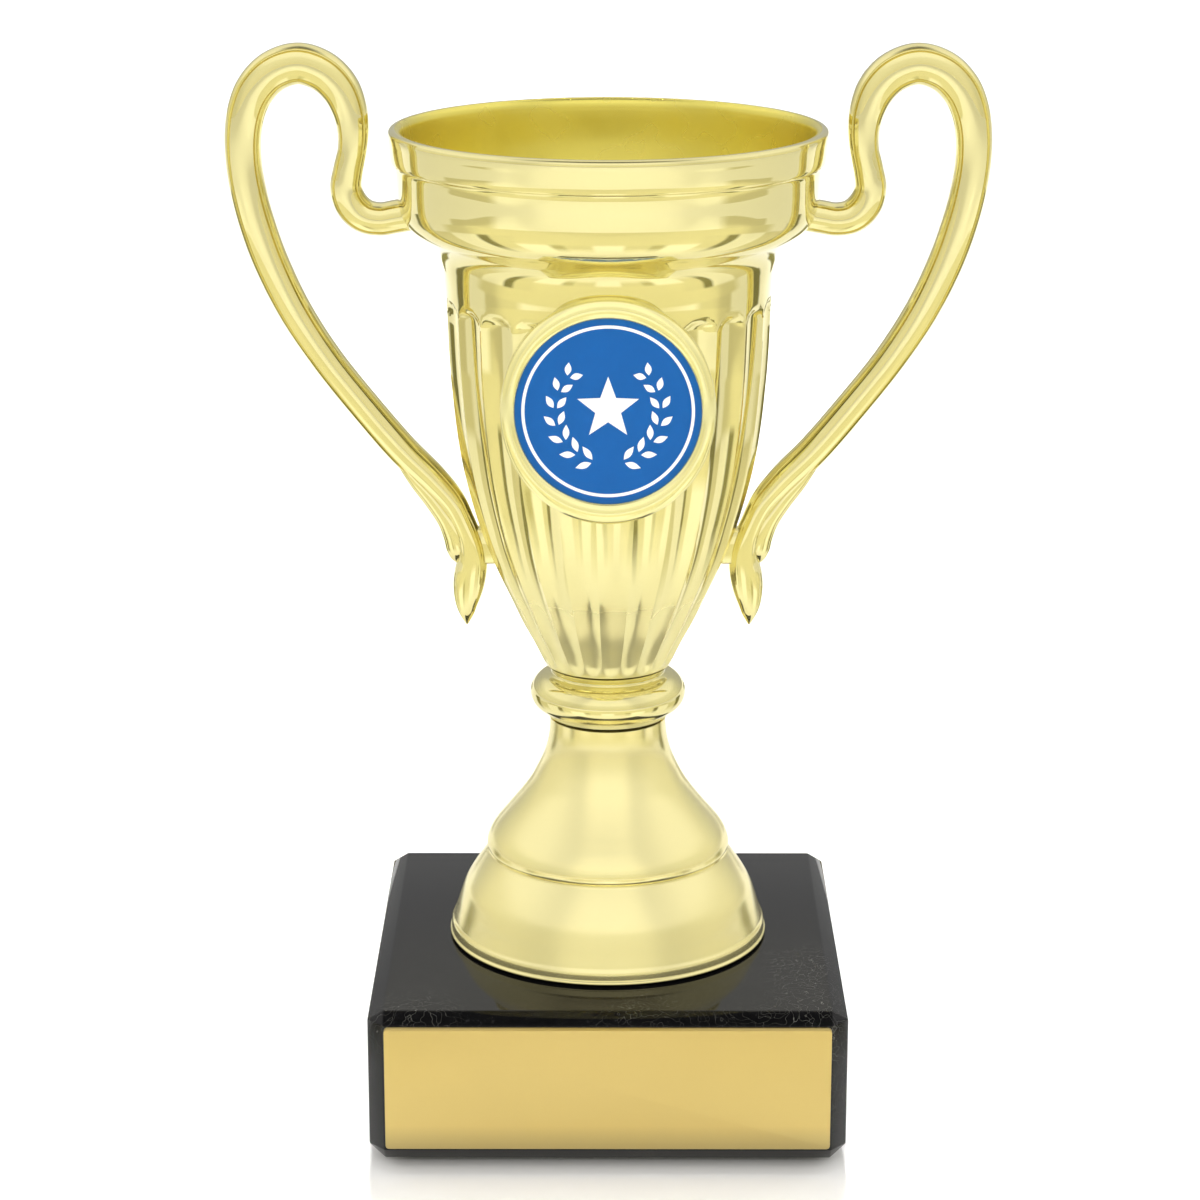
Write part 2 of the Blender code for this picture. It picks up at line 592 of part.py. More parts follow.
def holder_place():
    """Local +Z becomes the holder's facing direction, tipped upwards."""
    face = -outer_radius(HOLDER_CENTRE_LEVEL) - HOLDER_STANDOFF
    return (Matrix.Translation((0, face, HOLDER_CENTRE_LEVEL))
            @ Matrix.Rotation(math.pi / 2 - HOLDER_TILT, 4, "X"))


def insert_holder():
    wide = HOLDER_HALF_WIDTH
    recess = INSERT_RECESS_RADIUS
    reach = outer_radius(HOLDER_CENTRE_LEVEL)
    sagitta = reach - math.sqrt(reach ** 2 - wide ** 2)
    back = -HOLDER_STANDOFF - sagitta - BOWL_WALL * 2
    crown = (wide + recess) / 2
    half = (wide - recess) / 2
    outline = [(0.0, back), (wide, back)]
    for turn in (10, 40, 65, 90, 115, 140):
        outline.append((crown + half * math.cos(math.radians(turn)),
                        -half + half * math.sin(math.radians(turn))))
    outline.append((recess, -half))
    outline.append((recess, -HOLDER_RECESS_DEPTH))
    outline.append((0.0, -HOLDER_RECESS_DEPTH))
    bm = bmesh.new()
    points = [bm.verts.new((r, 0.0, z)) for r, z in outline]
    edges = [bm.edges.new(pair) for pair in zip(points, points[1:])]
    bmesh.ops.spin(bm, geom=points + edges, cent=(0, 0, 0), axis=(0, 0, 1),
                   angle=math.tau, steps=ROUND_STEPS, use_merge=True)
    bmesh.ops.remove_doubles(bm, verts=bm.verts[:], dist=1e-7)
    stretch = (HOLDER_HALF_HEIGHT - recess) / (wide - recess)
    for vert in bm.verts:
        radius = math.hypot(vert.co.x, vert.co.y)
        if radius > recess:
            upright = (vert.co.y / radius) ** 2
            grown = recess + (radius - recess) * (1 + (stretch - 1) * upright)
            vert.co.x *= grown / radius
            vert.co.y *= grown / radius
    bm.transform(holder_place())
    holder = finish("insert_holder", bm, "gold_foil_holder", smooth=True)
    shape_with(holder, bowl_envelope("holder_seat", REST_GAP), "DIFFERENCE")
    for level in holder_peg_levels():
        reach = outer_radius(level)
        peg = round_bar("holder_peg", HOLDER_PEG_RADIUS,
                        (0, -reach + HOLDER_PEG_REACH, level),
                        (0, -reach - REST_GAP * 2, level), PEG_STEPS)
        shape_with(holder, peg, "UNION")


def insert_disc_and_tape():
    floor = -HOLDER_RECESS_DEPTH
    tape_low = floor + THIN_GAP
    tape_high = tape_low + TAPE_THICKNESS
    disc_low = tape_high + THIN_GAP
    for name, low, thick, radius, slot in (
            ("insert_adhesive", tape_low, TAPE_THICKNESS, INSERT_RADIUS * 0.9, "clear_tape"),
            ("insert_disc", disc_low, INSERT_THICKNESS, INSERT_RADIUS, "blue_print")):
        bm = bmesh.new()
        bmesh.ops.create_cone(bm, cap_ends=True, segments=ROUND_STEPS, radius1=radius,
                              radius2=radius, depth=thick,
                              matrix=Matrix.Translation((0, 0, low + thick / 2)))
        bm.transform(holder_place())
        finish(name, bm, slot)


# ---------------------------------------------------------------- fasteners
def washer(name, diameter, thickness, low):
    bore = ROD_RADIUS + NUT_BORE_CLEARANCE / 2
    outline = [(bore, low), (diameter / 2, low), (diameter / 2, low + thickness),
               (bore, low + thickness)]
    finish(name, turned_bmesh(outline, SMALL_STEPS), "zinc_steel")
    return low + thickness


def hex_nut(name, low):
    bore = ROD_RADIUS + NUT_BORE_CLEARANCE / 2
    outline = [(bore, low), (NUT_FLATS / math.sqrt(3), low),
               (NUT_FLATS / math.sqrt(3), low + NUT_THICKNESS), (bore, low + NUT_THICKNESS)]
    bm = turned_bmesh(outline, SMALL_STEPS)
    for vert in bm.verts:
        radius = math.hypot(vert.co.x, vert.co.y)
        if radius > ROD_DIAMETER * 0.7:
            angle = math.atan2(vert.co.y, vert.co.x)
            within = (angle + math.tau) % (math.pi / 3) - math.pi / 6
            flat = NUT_FLATS / 2 / math.cos(within)
            vert.co.x *= flat / radius
            vert.co.y *= flat / radius
    bmesh.ops.dissolve_limit(bm, angle_limit=math.radians(1), verts=bm.verts[:],
                             edges=bm.edges[:])
    bmesh.ops.triangulate(bm, faces=bm.faces[:])
    finish(name, bm, "zinc_steel")
    return low + NUT_THICKNESS


def fasteners():
    top = washer("bowl_washer", WASHER_DIAMETER, WASHER_THICKNESS,
                 BOWL_INSIDE_FLOOR + REST_GAP)
    rod_top = hex_nut("bowl_nut", top + REST_GAP) + ROD_END_SPARE
    seat = BASE_BOTTOM + COUNTERBORE_DEPTH
    washer_low = seat - REST_GAP - BASE_WASHER_THICKNESS
    washer("base_washer", BASE_WASHER_DIAMETER, BASE_WASHER_THICKNESS, washer_low)
    lock_low = washer_low - REST_GAP - LOCK_WASHER_THICKNESS
    washer("base_lock_washer", LOCK_WASHER_DIAMETER, LOCK_WASHER_THICKNESS, lock_low)
    nut_low = lock_low - REST_GAP - NUT_THICKNESS
    hex_nut("base_nut", nut_low)
    rod = round_bar("tie_rod", ROD_RADIUS, (0, 0, nut_low - ROD_END_SPARE / 2),
                    (0, 0, rod_top), SMALL_STEPS)
    rod.data.materials.append(material("zinc_steel"))
    rod.data.shade_smooth()
    rod.data.set_sharp_from_angle(angle=math.radians(32))


def main():
    clear_scene()
    marble_base()
    base_felt()
    plate_and_tape()
    stem_foot()
    collar_ring()
    cup_bowl()
    handle("handle_left", -1)
    handle("handle_right", 1)
    insert_holder()
    insert_disc_and_tape()
    fasteners()


main()
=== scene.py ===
"""Looks of the cup trophy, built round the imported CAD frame. Metres, +Z up, front towards -Y."""
import math

import bmesh
import bpy
import numpy as np
from mathutils import Matrix, Vector


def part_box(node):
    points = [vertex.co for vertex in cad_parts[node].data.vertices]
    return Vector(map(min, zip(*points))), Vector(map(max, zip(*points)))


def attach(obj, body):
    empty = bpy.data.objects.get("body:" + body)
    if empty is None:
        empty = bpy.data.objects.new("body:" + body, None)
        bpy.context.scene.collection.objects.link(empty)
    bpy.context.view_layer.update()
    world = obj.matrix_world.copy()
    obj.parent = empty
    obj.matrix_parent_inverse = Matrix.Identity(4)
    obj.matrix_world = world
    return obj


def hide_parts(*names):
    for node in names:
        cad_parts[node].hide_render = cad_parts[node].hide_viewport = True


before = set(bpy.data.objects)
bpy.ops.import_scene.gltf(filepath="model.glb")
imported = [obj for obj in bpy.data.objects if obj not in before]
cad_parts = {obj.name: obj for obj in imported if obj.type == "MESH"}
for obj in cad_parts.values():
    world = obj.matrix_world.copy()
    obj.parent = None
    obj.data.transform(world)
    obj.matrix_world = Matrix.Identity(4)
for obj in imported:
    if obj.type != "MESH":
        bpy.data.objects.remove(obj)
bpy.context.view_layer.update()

MM = 0.001
FLUTE_COUNT = 24
FLUTE_TURN = math.radians(10.3)      # ridge nearest the front, to its right
THREAD_PITCH = 0.7 * MM
HOLDER_TILT = math.radians(4.0)
BORE = 2.3                           # mm radius: rod hole through every piece
SPIGOT = 4.0                         # mm radius
SOCKET = 4.3                         # mm radius
SOCKET_DEPTH = 1.7                   # mm

# light tent: strength by degrees off the front
TENT_PANELS = ((0, 1.0), (28, 1.0), (46, 0.80), (60, 0.84), (80, 0.94), (115, 0.94), (180, 0.88))

# painted reflections: colours of a card that only mirror rays meet, by degrees off the front, in
# four rings
PAPER = (0.92, 0.92, 0.90)
OLIVE = (0.15, 0.14, 0.05)
OLIVE_PALE = (0.64, 0.61, 0.44)
OLIVE_MID = (0.40, 0.38, 0.22)
STRAW = (0.70, 0.67, 0.48)
MAT_NEAR = ((0, PAPER), (8, PAPER), (11, OLIVE_PALE), (24, OLIVE_PALE), (27, OLIVE_MID),
            (32, OLIVE_MID), (36, PAPER), (54, PAPER), (57, OLIVE_PALE), (68, OLIVE_PALE),
            (71, OLIVE), (76, OLIVE), (79, PAPER), (97, PAPER), (100, OLIVE_PALE),
            (116, OLIVE_PALE), (119, OLIVE), (127, OLIVE), (130, PAPER),
            (180, PAPER))
MAT_STREAKS = ((0, STRAW), (50, STRAW), (56, OLIVE_PALE), (68, OLIVE_PALE), (71, OLIVE),
               (76, OLIVE), (79, PAPER), (97, PAPER), (100, OLIVE_PALE), (116, OLIVE_PALE),
               (119, OLIVE), (127, OLIVE), (130, PAPER), (180, PAPER))
MAT_MIDDLE = ((0, STRAW), (96, STRAW), (104, PAPER), (114, PAPER), (119, OLIVE),
              (129, OLIVE), (132, PAPER), (150, PAPER), (153, OLIVE), (161, OLIVE),
              (164, PAPER), (180, PAPER))
MAT_OUTER = ((0, PAPER), (60, PAPER), (67, OLIVE_PALE), (92, OLIVE_PALE), (95, PAPER),
             (116, PAPER), (119, OLIVE), (128, OLIVE), (131, PAPER), (150, PAPER),
             (153, OLIVE), (161, OLIVE), (164, PAPER), (180, PAPER))
MAT_CLEAR = (0.070, 0.115)           # radii over which the near colours begin
MAT_TO_STREAKS = (0.135, 0.165)
MAT_TO_MIDDLE = (0.230, 0.250)
MAT_TO_OUTER = (0.330, 0.345)
MAT_RADIUS = 0.45
MAT_LEVEL = 0.0005

# places and overall sizes from the frame
BASE_LOW, BASE_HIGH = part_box("marble_base")
FOOT_LOW, FOOT_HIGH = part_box("stem_foot")
COLLAR_LOW, COLLAR_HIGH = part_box("collar_ring")
BOWL_LOW, BOWL_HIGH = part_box("cup_bowl")
HOLDER_LOW, HOLDER_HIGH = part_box("insert_holder")
DISC_LOW, DISC_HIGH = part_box("insert_disc")
PLATE_LOW, PLATE_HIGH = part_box("engraving_plate")
FELT_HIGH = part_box("base_felt")[1]
ROD_LOW, ROD_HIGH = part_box("tie_rod")
NUT_LOW, NUT_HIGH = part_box("bowl_nut")
WASHER_LOW, WASHER_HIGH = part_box("bowl_washer")

SPIGOT_LENGTH = 1.4 * MM
FOOT_BOTTOM = FOOT_LOW.z
FOOT_TOP = FOOT_HIGH.z
COLLAR_BOTTOM = COLLAR_LOW.z + SPIGOT_LENGTH
COLLAR_TOP = COLLAR_HIGH.z
BOWL_BOTTOM = BOWL_LOW.z + SPIGOT_LENGTH
BOWL_TOP = BOWL_HIGH.z
FOOT_RADIUS = FOOT_HIGH.x
RIM_RADIUS = BOWL_HIGH.x


# ------------------------------------------------------------ mesh helpers
def add_object(name, bm, smooth_angle=None):
    bmesh.ops.recalc_face_normals(bm, faces=bm.faces[:])
    mesh = bpy.data.meshes.new(name)
    bm.to_mesh(mesh)
    bm.free()
    made = bpy.data.objects.new(name, mesh)
    bpy.context.scene.collection.objects.link(made)
    if smooth_angle is not None:
        mesh.shade_smooth()
        mesh.set_sharp_from_angle(angle=math.radians(smooth_angle))
    return made


def curve_through(points, count):
    """Evenly spaced points on a centripetal Catmull-Rom curve through rows of numbers."""
    rows = np.array(points, dtype=float)
    rows = np.vstack([2 * rows[0] - rows[1], rows, 2 * rows[-1] - rows[-2]])
    steps = np.maximum(np.linalg.norm(np.diff(rows[:, :2], axis=0), axis=1), 1e-9) ** 0.5
    knots = np.concatenate([[0.0], np.cumsum(steps)])
    dense = []
    for i in range(1, len(rows) - 2):
        t0, t1, t2, t3 = knots[i - 1:i + 3]
        p0, p1, p2, p3 = rows[i - 1:i + 3]
        for t in np.linspace(t1, t2, 24, endpoint=False):
            a1 = ((t1 - t) * p0 + (t - t0) * p1) / (t1 - t0)
            a2 = ((t2 - t) * p1 + (t - t1) * p2) / (t2 - t1)
            a3 = ((t3 - t) * p2 + (t - t2) * p3) / (t3 - t2)
            b1 = ((t2 - t) * a1 + (t - t0) * a2) / (t2 - t0)
            b2 = ((t3 - t) * a2 + (t - t1) * a3) / (t3 - t1)
            dense.append(((t2 - t) * b1 + (t - t1) * b2) / (t2 - t1))
    dense.append(rows[-2])
    dense = np.array(dense)
    lengths = np.linalg.norm(np.diff(dense[:, :2], axis=0), axis=1)
    run = np.concatenate([[0.0], np.cumsum(lengths)])
    wanted = np.linspace(0.0, run[-1], count)
    return np.stack([np.interp(wanted, run, dense[:, k]) for k in range(dense.shape[1])], 1)


def outline_from(stretches):
    """Join stretches of (radius, height) in mm: each is curved, and they meet at corners."""
    found = []
    for count, points in stretches:
        rows = curve_through(points, count) if len(points) > 2 else np.array(points, float)
        for row in rows:
            if not found or np.hypot(*(row - found[-1])) > 1e-4:
                found.append(row)
    return np.array(found) * MM


def bridge(bm, first, second):
    """A closed band of quads between two rings with as many corners."""
    for i in range(len(first)):
        j = (i + 1) % len(first)
        bm.faces.new((first[i], first[j], second[j], second[i]))


def close_tube(bm, rings):
    """Bands between rings one after another, and a face at either end."""
    for first, second in zip(rings, rings[1:]):
        bridge(bm, first, second)
    bm.faces.new(rings[0])
    bm.faces.new(rings[-1])


def close_round(bm, rings):
    """Bands between sections that stand round an axis, the last joined to the first."""
    for k, ring in enumerate(rings):
        bridge(bm, ring, rings[(k + 1) % len(rings)])


def turned(name, outline, level, steps, turn=0.0, shape=None, smooth_angle=35):
    """Spin an outline round Z; shape may change a point's radius by angle and height."""
    bm = bmesh.new()
    rings = []
    for k in range(steps):
        angle = turn + math.tau * k / steps
        ring = []
        for index, (radius, height) in enumerate(outline):
            r = shape(index, radius, height, angle) if shape else radius
            ring.append(bm.verts.new((r * math.cos(angle), r * math.sin(angle),
                                      height + level)))
        rings.append(ring)
    close_round(bm, rings)
    return add_object(name, bm, smooth_angle)


def place(obj, slot, *nodes):
    """Every piece rides on the one body and may stand for CAD nodes."""
    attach(obj, "root")
    if nodes:
        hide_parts(*nodes)
    return obj


# ------------------------------------------------------------ materials
def fill_ramp(node, stops):
    band = node.color_ramp
    while len(band.elements) < len(stops):
        band.elements.new(0.5)
    for element, (at, colour) in zip(band.elements, stops):
        element.position = at
        element.color = (*colour, 1.0)


def maths(tree, operation, first, second=None):
    """A maths node whose inputs are sockets or plain numbers."""
    node = tree.nodes.new("ShaderNodeMath")
    node.operation = operation
    for socket, value in zip(node.inputs, (first, second)):
        if isinstance(value, float):
            socket.default_value = value
        elif value is not None:
            tree.links.new(value, socket)
    return node.outputs["Value"]


def off_front(tree, split):
    """Turn off the front of a split place or direction, either way round: 0 in front,
    1 straight behind."""
    sideways = maths(tree, "ABSOLUTE", split.outputs["X"])
    ahead = maths(tree, "MULTIPLY", split.outputs["Y"], -1.0)
    return maths(tree, "DIVIDE", maths(tree, "ARCTAN2", sideways, ahead), math.pi)


class Nodes:
    """Short names for building a node material."""

    def __init__(self, name):
        self.material = bpy.data.materials.new(name)
        self.material.use_nodes = True
        self.tree = self.material.node_tree
        self.shader = self.tree.nodes["Principled BSDF"]

    def add(self, kind, **values):
        node = self.tree.nodes.new(kind)
        for key, value in values.items():
            if key in node.inputs:
                node.inputs[key].default_value = value
            else:
                setattr(node, key, value)
        return node

    def link(self, start, end):
        self.tree.links.new(start, end)

    def place_texture(self, kind, source=None, **values):
        """A texture in object coordinates, so it stays on the piece."""
        node = self.add(kind, **values)
        if source is None:
            source = self.coords()
        self.link(source, node.inputs["Vector"])
        return node

    def coords(self):
        if not hasattr(self, "_coords"):
            self._coords = self.add("ShaderNodeTexCoord")
        return self._coords.outputs["Object"]

    def ramp(self, source, stops):
        node = self.add("ShaderNodeValToRGB")
        fill_ramp(node, stops)
        self.link(source, node.inputs["Fac"])
        return node.outputs["Color"]

    def spread(self, source, low, high, start=0.0, end=1.0):
        node = self.add("ShaderNodeMapRange")
        node.inputs["From Min"].default_value = start
        node.inputs["From Max"].default_value = end
        node.inputs["To Min"].default_value = low
        node.inputs["To Max"].default_value = high
        self.link(source, node.inputs["Value"])
        return node.outputs["Result"]

    def split_coords(self):
        node = self.add("ShaderNodeSeparateXYZ")
        self.link(self.coords(), node.inputs["Vector"])
        return node

    def bump(self, source, distance):
        node = self.add("ShaderNodeBump", Distance=distance)
        self.link(source, node.inputs["Height"])
        return node.outputs["Normal"]

    def mix(self, factor, first, second, mode="MIX"):
        node = self.add("ShaderNodeMix", data_type="RGBA", blend_type=mode)
        colours = [s for s in node.inputs if s.type == "RGBA"]
        for socket, value in zip(colours, (first, second)):
            if isinstance(value, tuple):
                socket.default_value = (*value, 1.0)
            else:
                self.link(value, socket)
        if isinstance(factor, float):
            node.inputs[0].default_value = factor
        else:
            self.link(factor, node.inputs[0])
        return [s for s in node.outputs if s.type == "RGBA"][0]


def gold_foil(name, colour, deep, roughness, waviness, metallic=0.92, haze_below=None):
    """Vacuum-metallised plastic: mirror gold with faint moulding waves and haze.
    haze_below is a pair of heights between which the foil turns softer downwards."""
    n = Nodes(name)
    n.shader.inputs["Metallic"].default_value = metallic
    cloud = n.place_texture("ShaderNodeTexNoise", Scale=90.0, Detail=3.0)
    tint = n.spread(cloud.outputs["Fac"], 0.0, 0.35, 0.35, 0.75)
    n.link(n.mix(tint, colour, deep), n.shader.inputs["Base Color"])
    haze = n.place_texture("ShaderNodeTexNoise", Scale=150.0, Detail=2.0)
    rough = n.spread(haze.outputs["Fac"], roughness * 0.85, roughness * 1.25, 0.3, 0.7)
    if haze_below:
        split = n.split_coords()
        extra = n.spread(split.outputs["Z"], 0.22, 0.0, *haze_below)
        rough = maths(n.tree, "ADD", rough, extra)
        n.link(n.spread(split.outputs["Z"], 0.60, metallic, *haze_below),
               n.shader.inputs["Metallic"])
    n.link(rough, n.shader.inputs["Roughness"])
    if waviness:
        wave = n.place_texture("ShaderNodeTexNoise", Scale=110.0, Detail=0.0)
        n.link(n.bump(wave.outputs["Fac"], waviness * MM), n.shader.inputs["Normal"])
    return n.material


def black_marble(name):
    """Polished black stone: fine grain, and thin pale veins in patches."""
    n = Nodes(name)
    warp = n.place_texture("ShaderNodeTexNoise", Scale=60.0, Detail=4.0)
    bent = n.add("ShaderNodeMix", data_type="VECTOR")
    vectors = [s for s in bent.inputs if s.type == "VECTOR"]
    bent.inputs[0].default_value = 0.012
    n.link(n.coords(), vectors[0])
    n.link(warp.outputs["Color"], vectors[1])
    moved = [s for s in bent.outputs if s.type == "VECTOR"][0]
    veins = n.place_texture("ShaderNodeTexVoronoi", moved, Scale=26.0,
                            feature="DISTANCE_TO_EDGE")
    patch = n.place_texture("ShaderNodeTexNoise", Scale=34.0, Detail=2.0)
    thin = n.ramp(veins.outputs["Distance"], [(0.0, (1, 1, 1)), (0.008, (0.25, 0.25, 0.25)),
                                              (0.024, (0, 0, 0))])
    where = n.ramp(patch.outputs["Fac"], [(0.5, (0, 0, 0)), (0.72, (1, 1, 1))])
    grain = n.place_texture("ShaderNodeTexNoise", Scale=900.0, Detail=4.0, Roughness=0.7)
    ground = n.ramp(grain.outputs["Fac"], [(0.3, (0.002, 0.002, 0.0025)),
                                           (0.62, (0.005, 0.005, 0.0055)),
                                           (0.78, (0.020, 0.020, 0.021))])
    seen = n.mix(1.0, thin, where, "MULTIPLY")
    n.link(n.mix(seen, ground, (0.20, 0.20, 0.18)), n.shader.inputs["Base Color"])
    n.link(n.spread(grain.outputs["Fac"], 0.015, 0.06), n.shader.inputs["Roughness"])
    n.shader.inputs["Specular IOR Level"].default_value = 0.24
    n.link(n.bump(grain.outputs["Fac"], 0.0006 * MM), n.shader.inputs["Normal"])
    return n.material


def satin_gold_sheet(name):
    """Anodised sheet brushed from side to side, with painted shade darkening it along its foot."""
    n = Nodes(name)
    n.shader.inputs["Metallic"].default_value = 0.75
    stretch = n.add("ShaderNodeMapping")
    stretch.inputs["Scale"].default_value = (60.0, 60.0, 2600.0)
    n.link(n.coords(), stretch.inputs["Vector"])
    lines = n.place_texture("ShaderNodeTexNoise", stretch.outputs["Vector"], Scale=1.0,
                            Detail=5.0)
    cloud = n.place_texture("ShaderNodeTexNoise", Scale=70.0, Detail=2.0)
    even = n.mix(n.spread(cloud.outputs["Fac"], 0.0, 0.5), (0.64, 0.49, 0.176),
                 (0.62, 0.475, 0.170))
    # painted shade: the colour darkens towards the plate's foot, down to (0.46, 0.36, 0.145)
    shade = n.spread(n.split_coords().outputs["Z"], 1.0, 0.0, PLATE_LOW.z + 0.6 * MM,
                     PLATE_LOW.z + 3.2 * MM)
    n.link(n.mix(shade, even, (0.46, 0.36, 0.145)), n.shader.inputs["Base Color"])
    n.link(n.spread(lines.outputs["Fac"], 0.30, 0.42), n.shader.inputs["Roughness"])
    n.link(n.bump(lines.outputs["Fac"], 0.003 * MM), n.shader.inputs["Normal"])
    return n.material


def printed(name, colour, roughness):
    """Printed film: even ink with a faint tooth."""
    n = Nodes(name)
    n.shader.inputs["Specular IOR Level"].default_value = 0.2
    mottle = n.place_texture("ShaderNodeTexNoise", Scale=500.0, Detail=3.0)
    shade = tuple(c * 0.93 for c in colour)
    n.link(n.mix(n.spread(mottle.outputs["Fac"], 0.0, 1.0), colour, shade),
           n.shader.inputs["Base Color"])
    n.link(n.spread(mottle.outputs["Fac"], roughness * 0.9, roughness * 1.15),
           n.shader.inputs["Roughness"])
    n.link(n.bump(mottle.outputs["Fac"], 0.002 * MM), n.shader.inputs["Normal"])
    return n.material


def felt_cloth(name):
    """Black felt: fuzz in clumps, with a little sheen."""
    n = Nodes(name)
    fuzz = n.place_texture("ShaderNodeTexNoise", Scale=1500.0, Detail=6.0)
    clump = n.place_texture("ShaderNodeTexVoronoi", Scale=900.0)
    n.link(n.ramp(fuzz.outputs["Fac"], [(0.3, (0.006, 0.006, 0.006)),
                                        (0.75, (0.045, 0.045, 0.046))]),
           n.shader.inputs["Base Color"])
    n.link(n.spread(clump.outputs["Distance"], 0.85, 1.0), n.shader.inputs["Roughness"])
    n.shader.inputs["Sheen Weight"].default_value = 0.3
    n.link(n.bump(fuzz.outputs["Fac"], 0.08 * MM), n.shader.inputs["Normal"])
    return n.material


def zinc_plate(name):
    """Bright zinc with clouded gloss."""
    n = Nodes(name)
    n.shader.inputs["Metallic"].default_value = 1.0
    cloud = n.place_texture("ShaderNodeTexNoise", Scale=400.0, Detail=4.0)
    n.link(n.ramp(cloud.outputs["Fac"], [(0.3, (0.46, 0.46, 0.45)), (0.7, (0.66, 0.66, 0.64))]),
           n.shader.inputs["Base Color"])
    n.link(n.spread(cloud.outputs["Fac"], 0.22, 0.42), n.shader.inputs["Roughness"])
    n.link(n.bump(cloud.outputs["Fac"], 0.01 * MM), n.shader.inputs["Normal"])
    return n.material


GOLD = gold_foil("gold_foil", (0.84, 0.77, 0.38), (0.82, 0.745, 0.35), 0.04, 0.04)
GOLD_BOWL = gold_foil("gold_foil_bowl", (0.84, 0.77, 0.38), (0.82, 0.745, 0.35), 0.02, 0.05,
                      0.90, (0.062, 0.076))
# painted shade: the lining is the same gold foil as the outside, given a deeper, more saturated
# gold
GOLD_INSIDE_SHADED = gold_foil("gold_foil_inside_painted_shade", (0.82, 0.72, 0.17), (0.78, 0.68, 0.14), 0.24, 0.0,
                        0.8)
GOLD_FOOT = gold_foil("gold_foil_soft", (0.90, 0.82, 0.42), (0.87, 0.78, 0.37), 0.20, 0.0,
                      0.88)
GOLD_HOLDER = gold_foil("gold_foil_frame", (0.92, 0.86, 0.42), (0.90, 0.84, 0.38), 0.14, 0.0,
                        0.82)
MARBLE = black_marble("black_marble_polished")
SHEET = satin_gold_sheet("gold_sheet_satin")
BLUE = printed("blue_ink", (0.005, 0.102, 0.365), 0.42)
WHITE = printed("white_ink", (0.97, 0.97, 0.97), 0.45)
FELT = felt_cloth("black_felt_cloth")
ZINC = zinc_plate("zinc_plate")


def paint(obj, material):
    obj.data.materials.clear()
    obj.data.materials.append(material)
    return obj


# ------------------------------------------------------------ marble block
def marble_block():
    """Chamfered block whose arrises are just broken, as polishing leaves them."""
    chamfer = 2.0 * MM
    top_chamfer = 1.2 * MM
    hull = bmesh.new()
    for sx in (-1, 1):
        for sy in (-1, 1):
            x, y = sx * BASE_HIGH.x, sy * BASE_HIGH.y
            in_x, in_y = x - sx * chamfer, y - sy * chamfer
            for edge, level in ((BASE_LOW.z, BASE_LOW.z + chamfer),
                                (BASE_HIGH.z, BASE_HIGH.z - top_chamfer)):
                for corner in ((x, in_y, level), (in_x, y, level), (in_x, in_y, edge)):
                    hull.verts.new(corner)
    bmesh.ops.convex_hull(hull, input=hull.verts[:])
    bmesh.ops.dissolve_limit(hull, angle_limit=math.radians(1), verts=hull.verts[:],
                             edges=hull.edges[:])
    bmesh.ops.bevel(hull, geom=hull.edges[:], offset=0.16 * MM, segments=2, profile=0.6,
                    affect="EDGES")
    block = add_object("marble_block", hull, 28)
    paint(block, MARBLE)
    place(block, "black_marble", "marble_base", "base_nut", "base_washer", "base_lock_washer")


def felt_sheet():
    """Felt with a slightly ragged cut edge."""
    bm = bmesh.new()
    half = FELT_HIGH.x * 0.998
    steps = 60
    rim = []
    sides = [(-1, -1, 1, 0), (1, -1, 0, 1), (1, 1, -1, 0), (-1, 1, 0, -1)]
    for cx, cy, dx, dy in sides:
        for k in range(steps):
            along = 2 * k / steps
            ragged = 1 - 0.0022 * (1 + math.sin(k * 2.3 + cx) * math.cos(k * 0.7 + cy))
            rim.append(((cx + dx * along) * half * ragged, (cy + dy * along) * half * ragged))
    rounding = 0.12 * MM
    levels = [(0.0, rounding), (rounding, 0.0), (FELT_HIGH.z - rounding, 0.0),
              (FELT_HIGH.z, rounding)]
    rings = []
    for level, inset in levels:
        share = 1 - inset / half
        rings.append([bm.verts.new((x * share, y * share, level)) for x, y in rim])
    close_tube(bm, rings)
    place(paint(add_object("felt_sheet", bm, 40), FELT), "black_felt", "base_felt")


def name_plate():
    """Thin sheet with rounded corners and a rolled front edge."""
    corner = 0.45 * MM
    soft = 0.12 * MM
    half_x = PLATE_HIGH.x
    mid_z = (PLATE_LOW.z + PLATE_HIGH.z) / 2
    half_z = (PLATE_HIGH.z - PLATE_LOW.z) / 2

    def ring(bm, inset, y):
        spots = []
        for sx, sz, start in ((1, 1, 0), (-1, 1, 90), (-1, -1, 180), (1, -1, 270)):
            for k in range(7):
                turn = math.radians(start + 15 * k)
                x = sx * (half_x - corner) + (corner - inset) * math.cos(turn)
                z = sz * (half_z - corner) + (corner - inset) * math.sin(turn)
                spots.append(bm.verts.new((x, y, mid_z + z)))
        return spots

    bm = bmesh.new()
    rings = [ring(bm, 0.0, -BASE_HIGH.y), ring(bm, 0.0, PLATE_LOW.y + soft)]
    for k in (1, 2, 3):
        turn = math.radians(30 * k)
        rings.append(ring(bm, soft * (1 - math.cos(turn)),
                          PLATE_LOW.y + soft * (1 - math.sin(turn))))
    close_tube(bm, rings)
    plate = paint(add_object("name_plate", bm, 30), SHEET)
    place(plate, "gold_aluminium", "engraving_plate", "plate_adhesive")


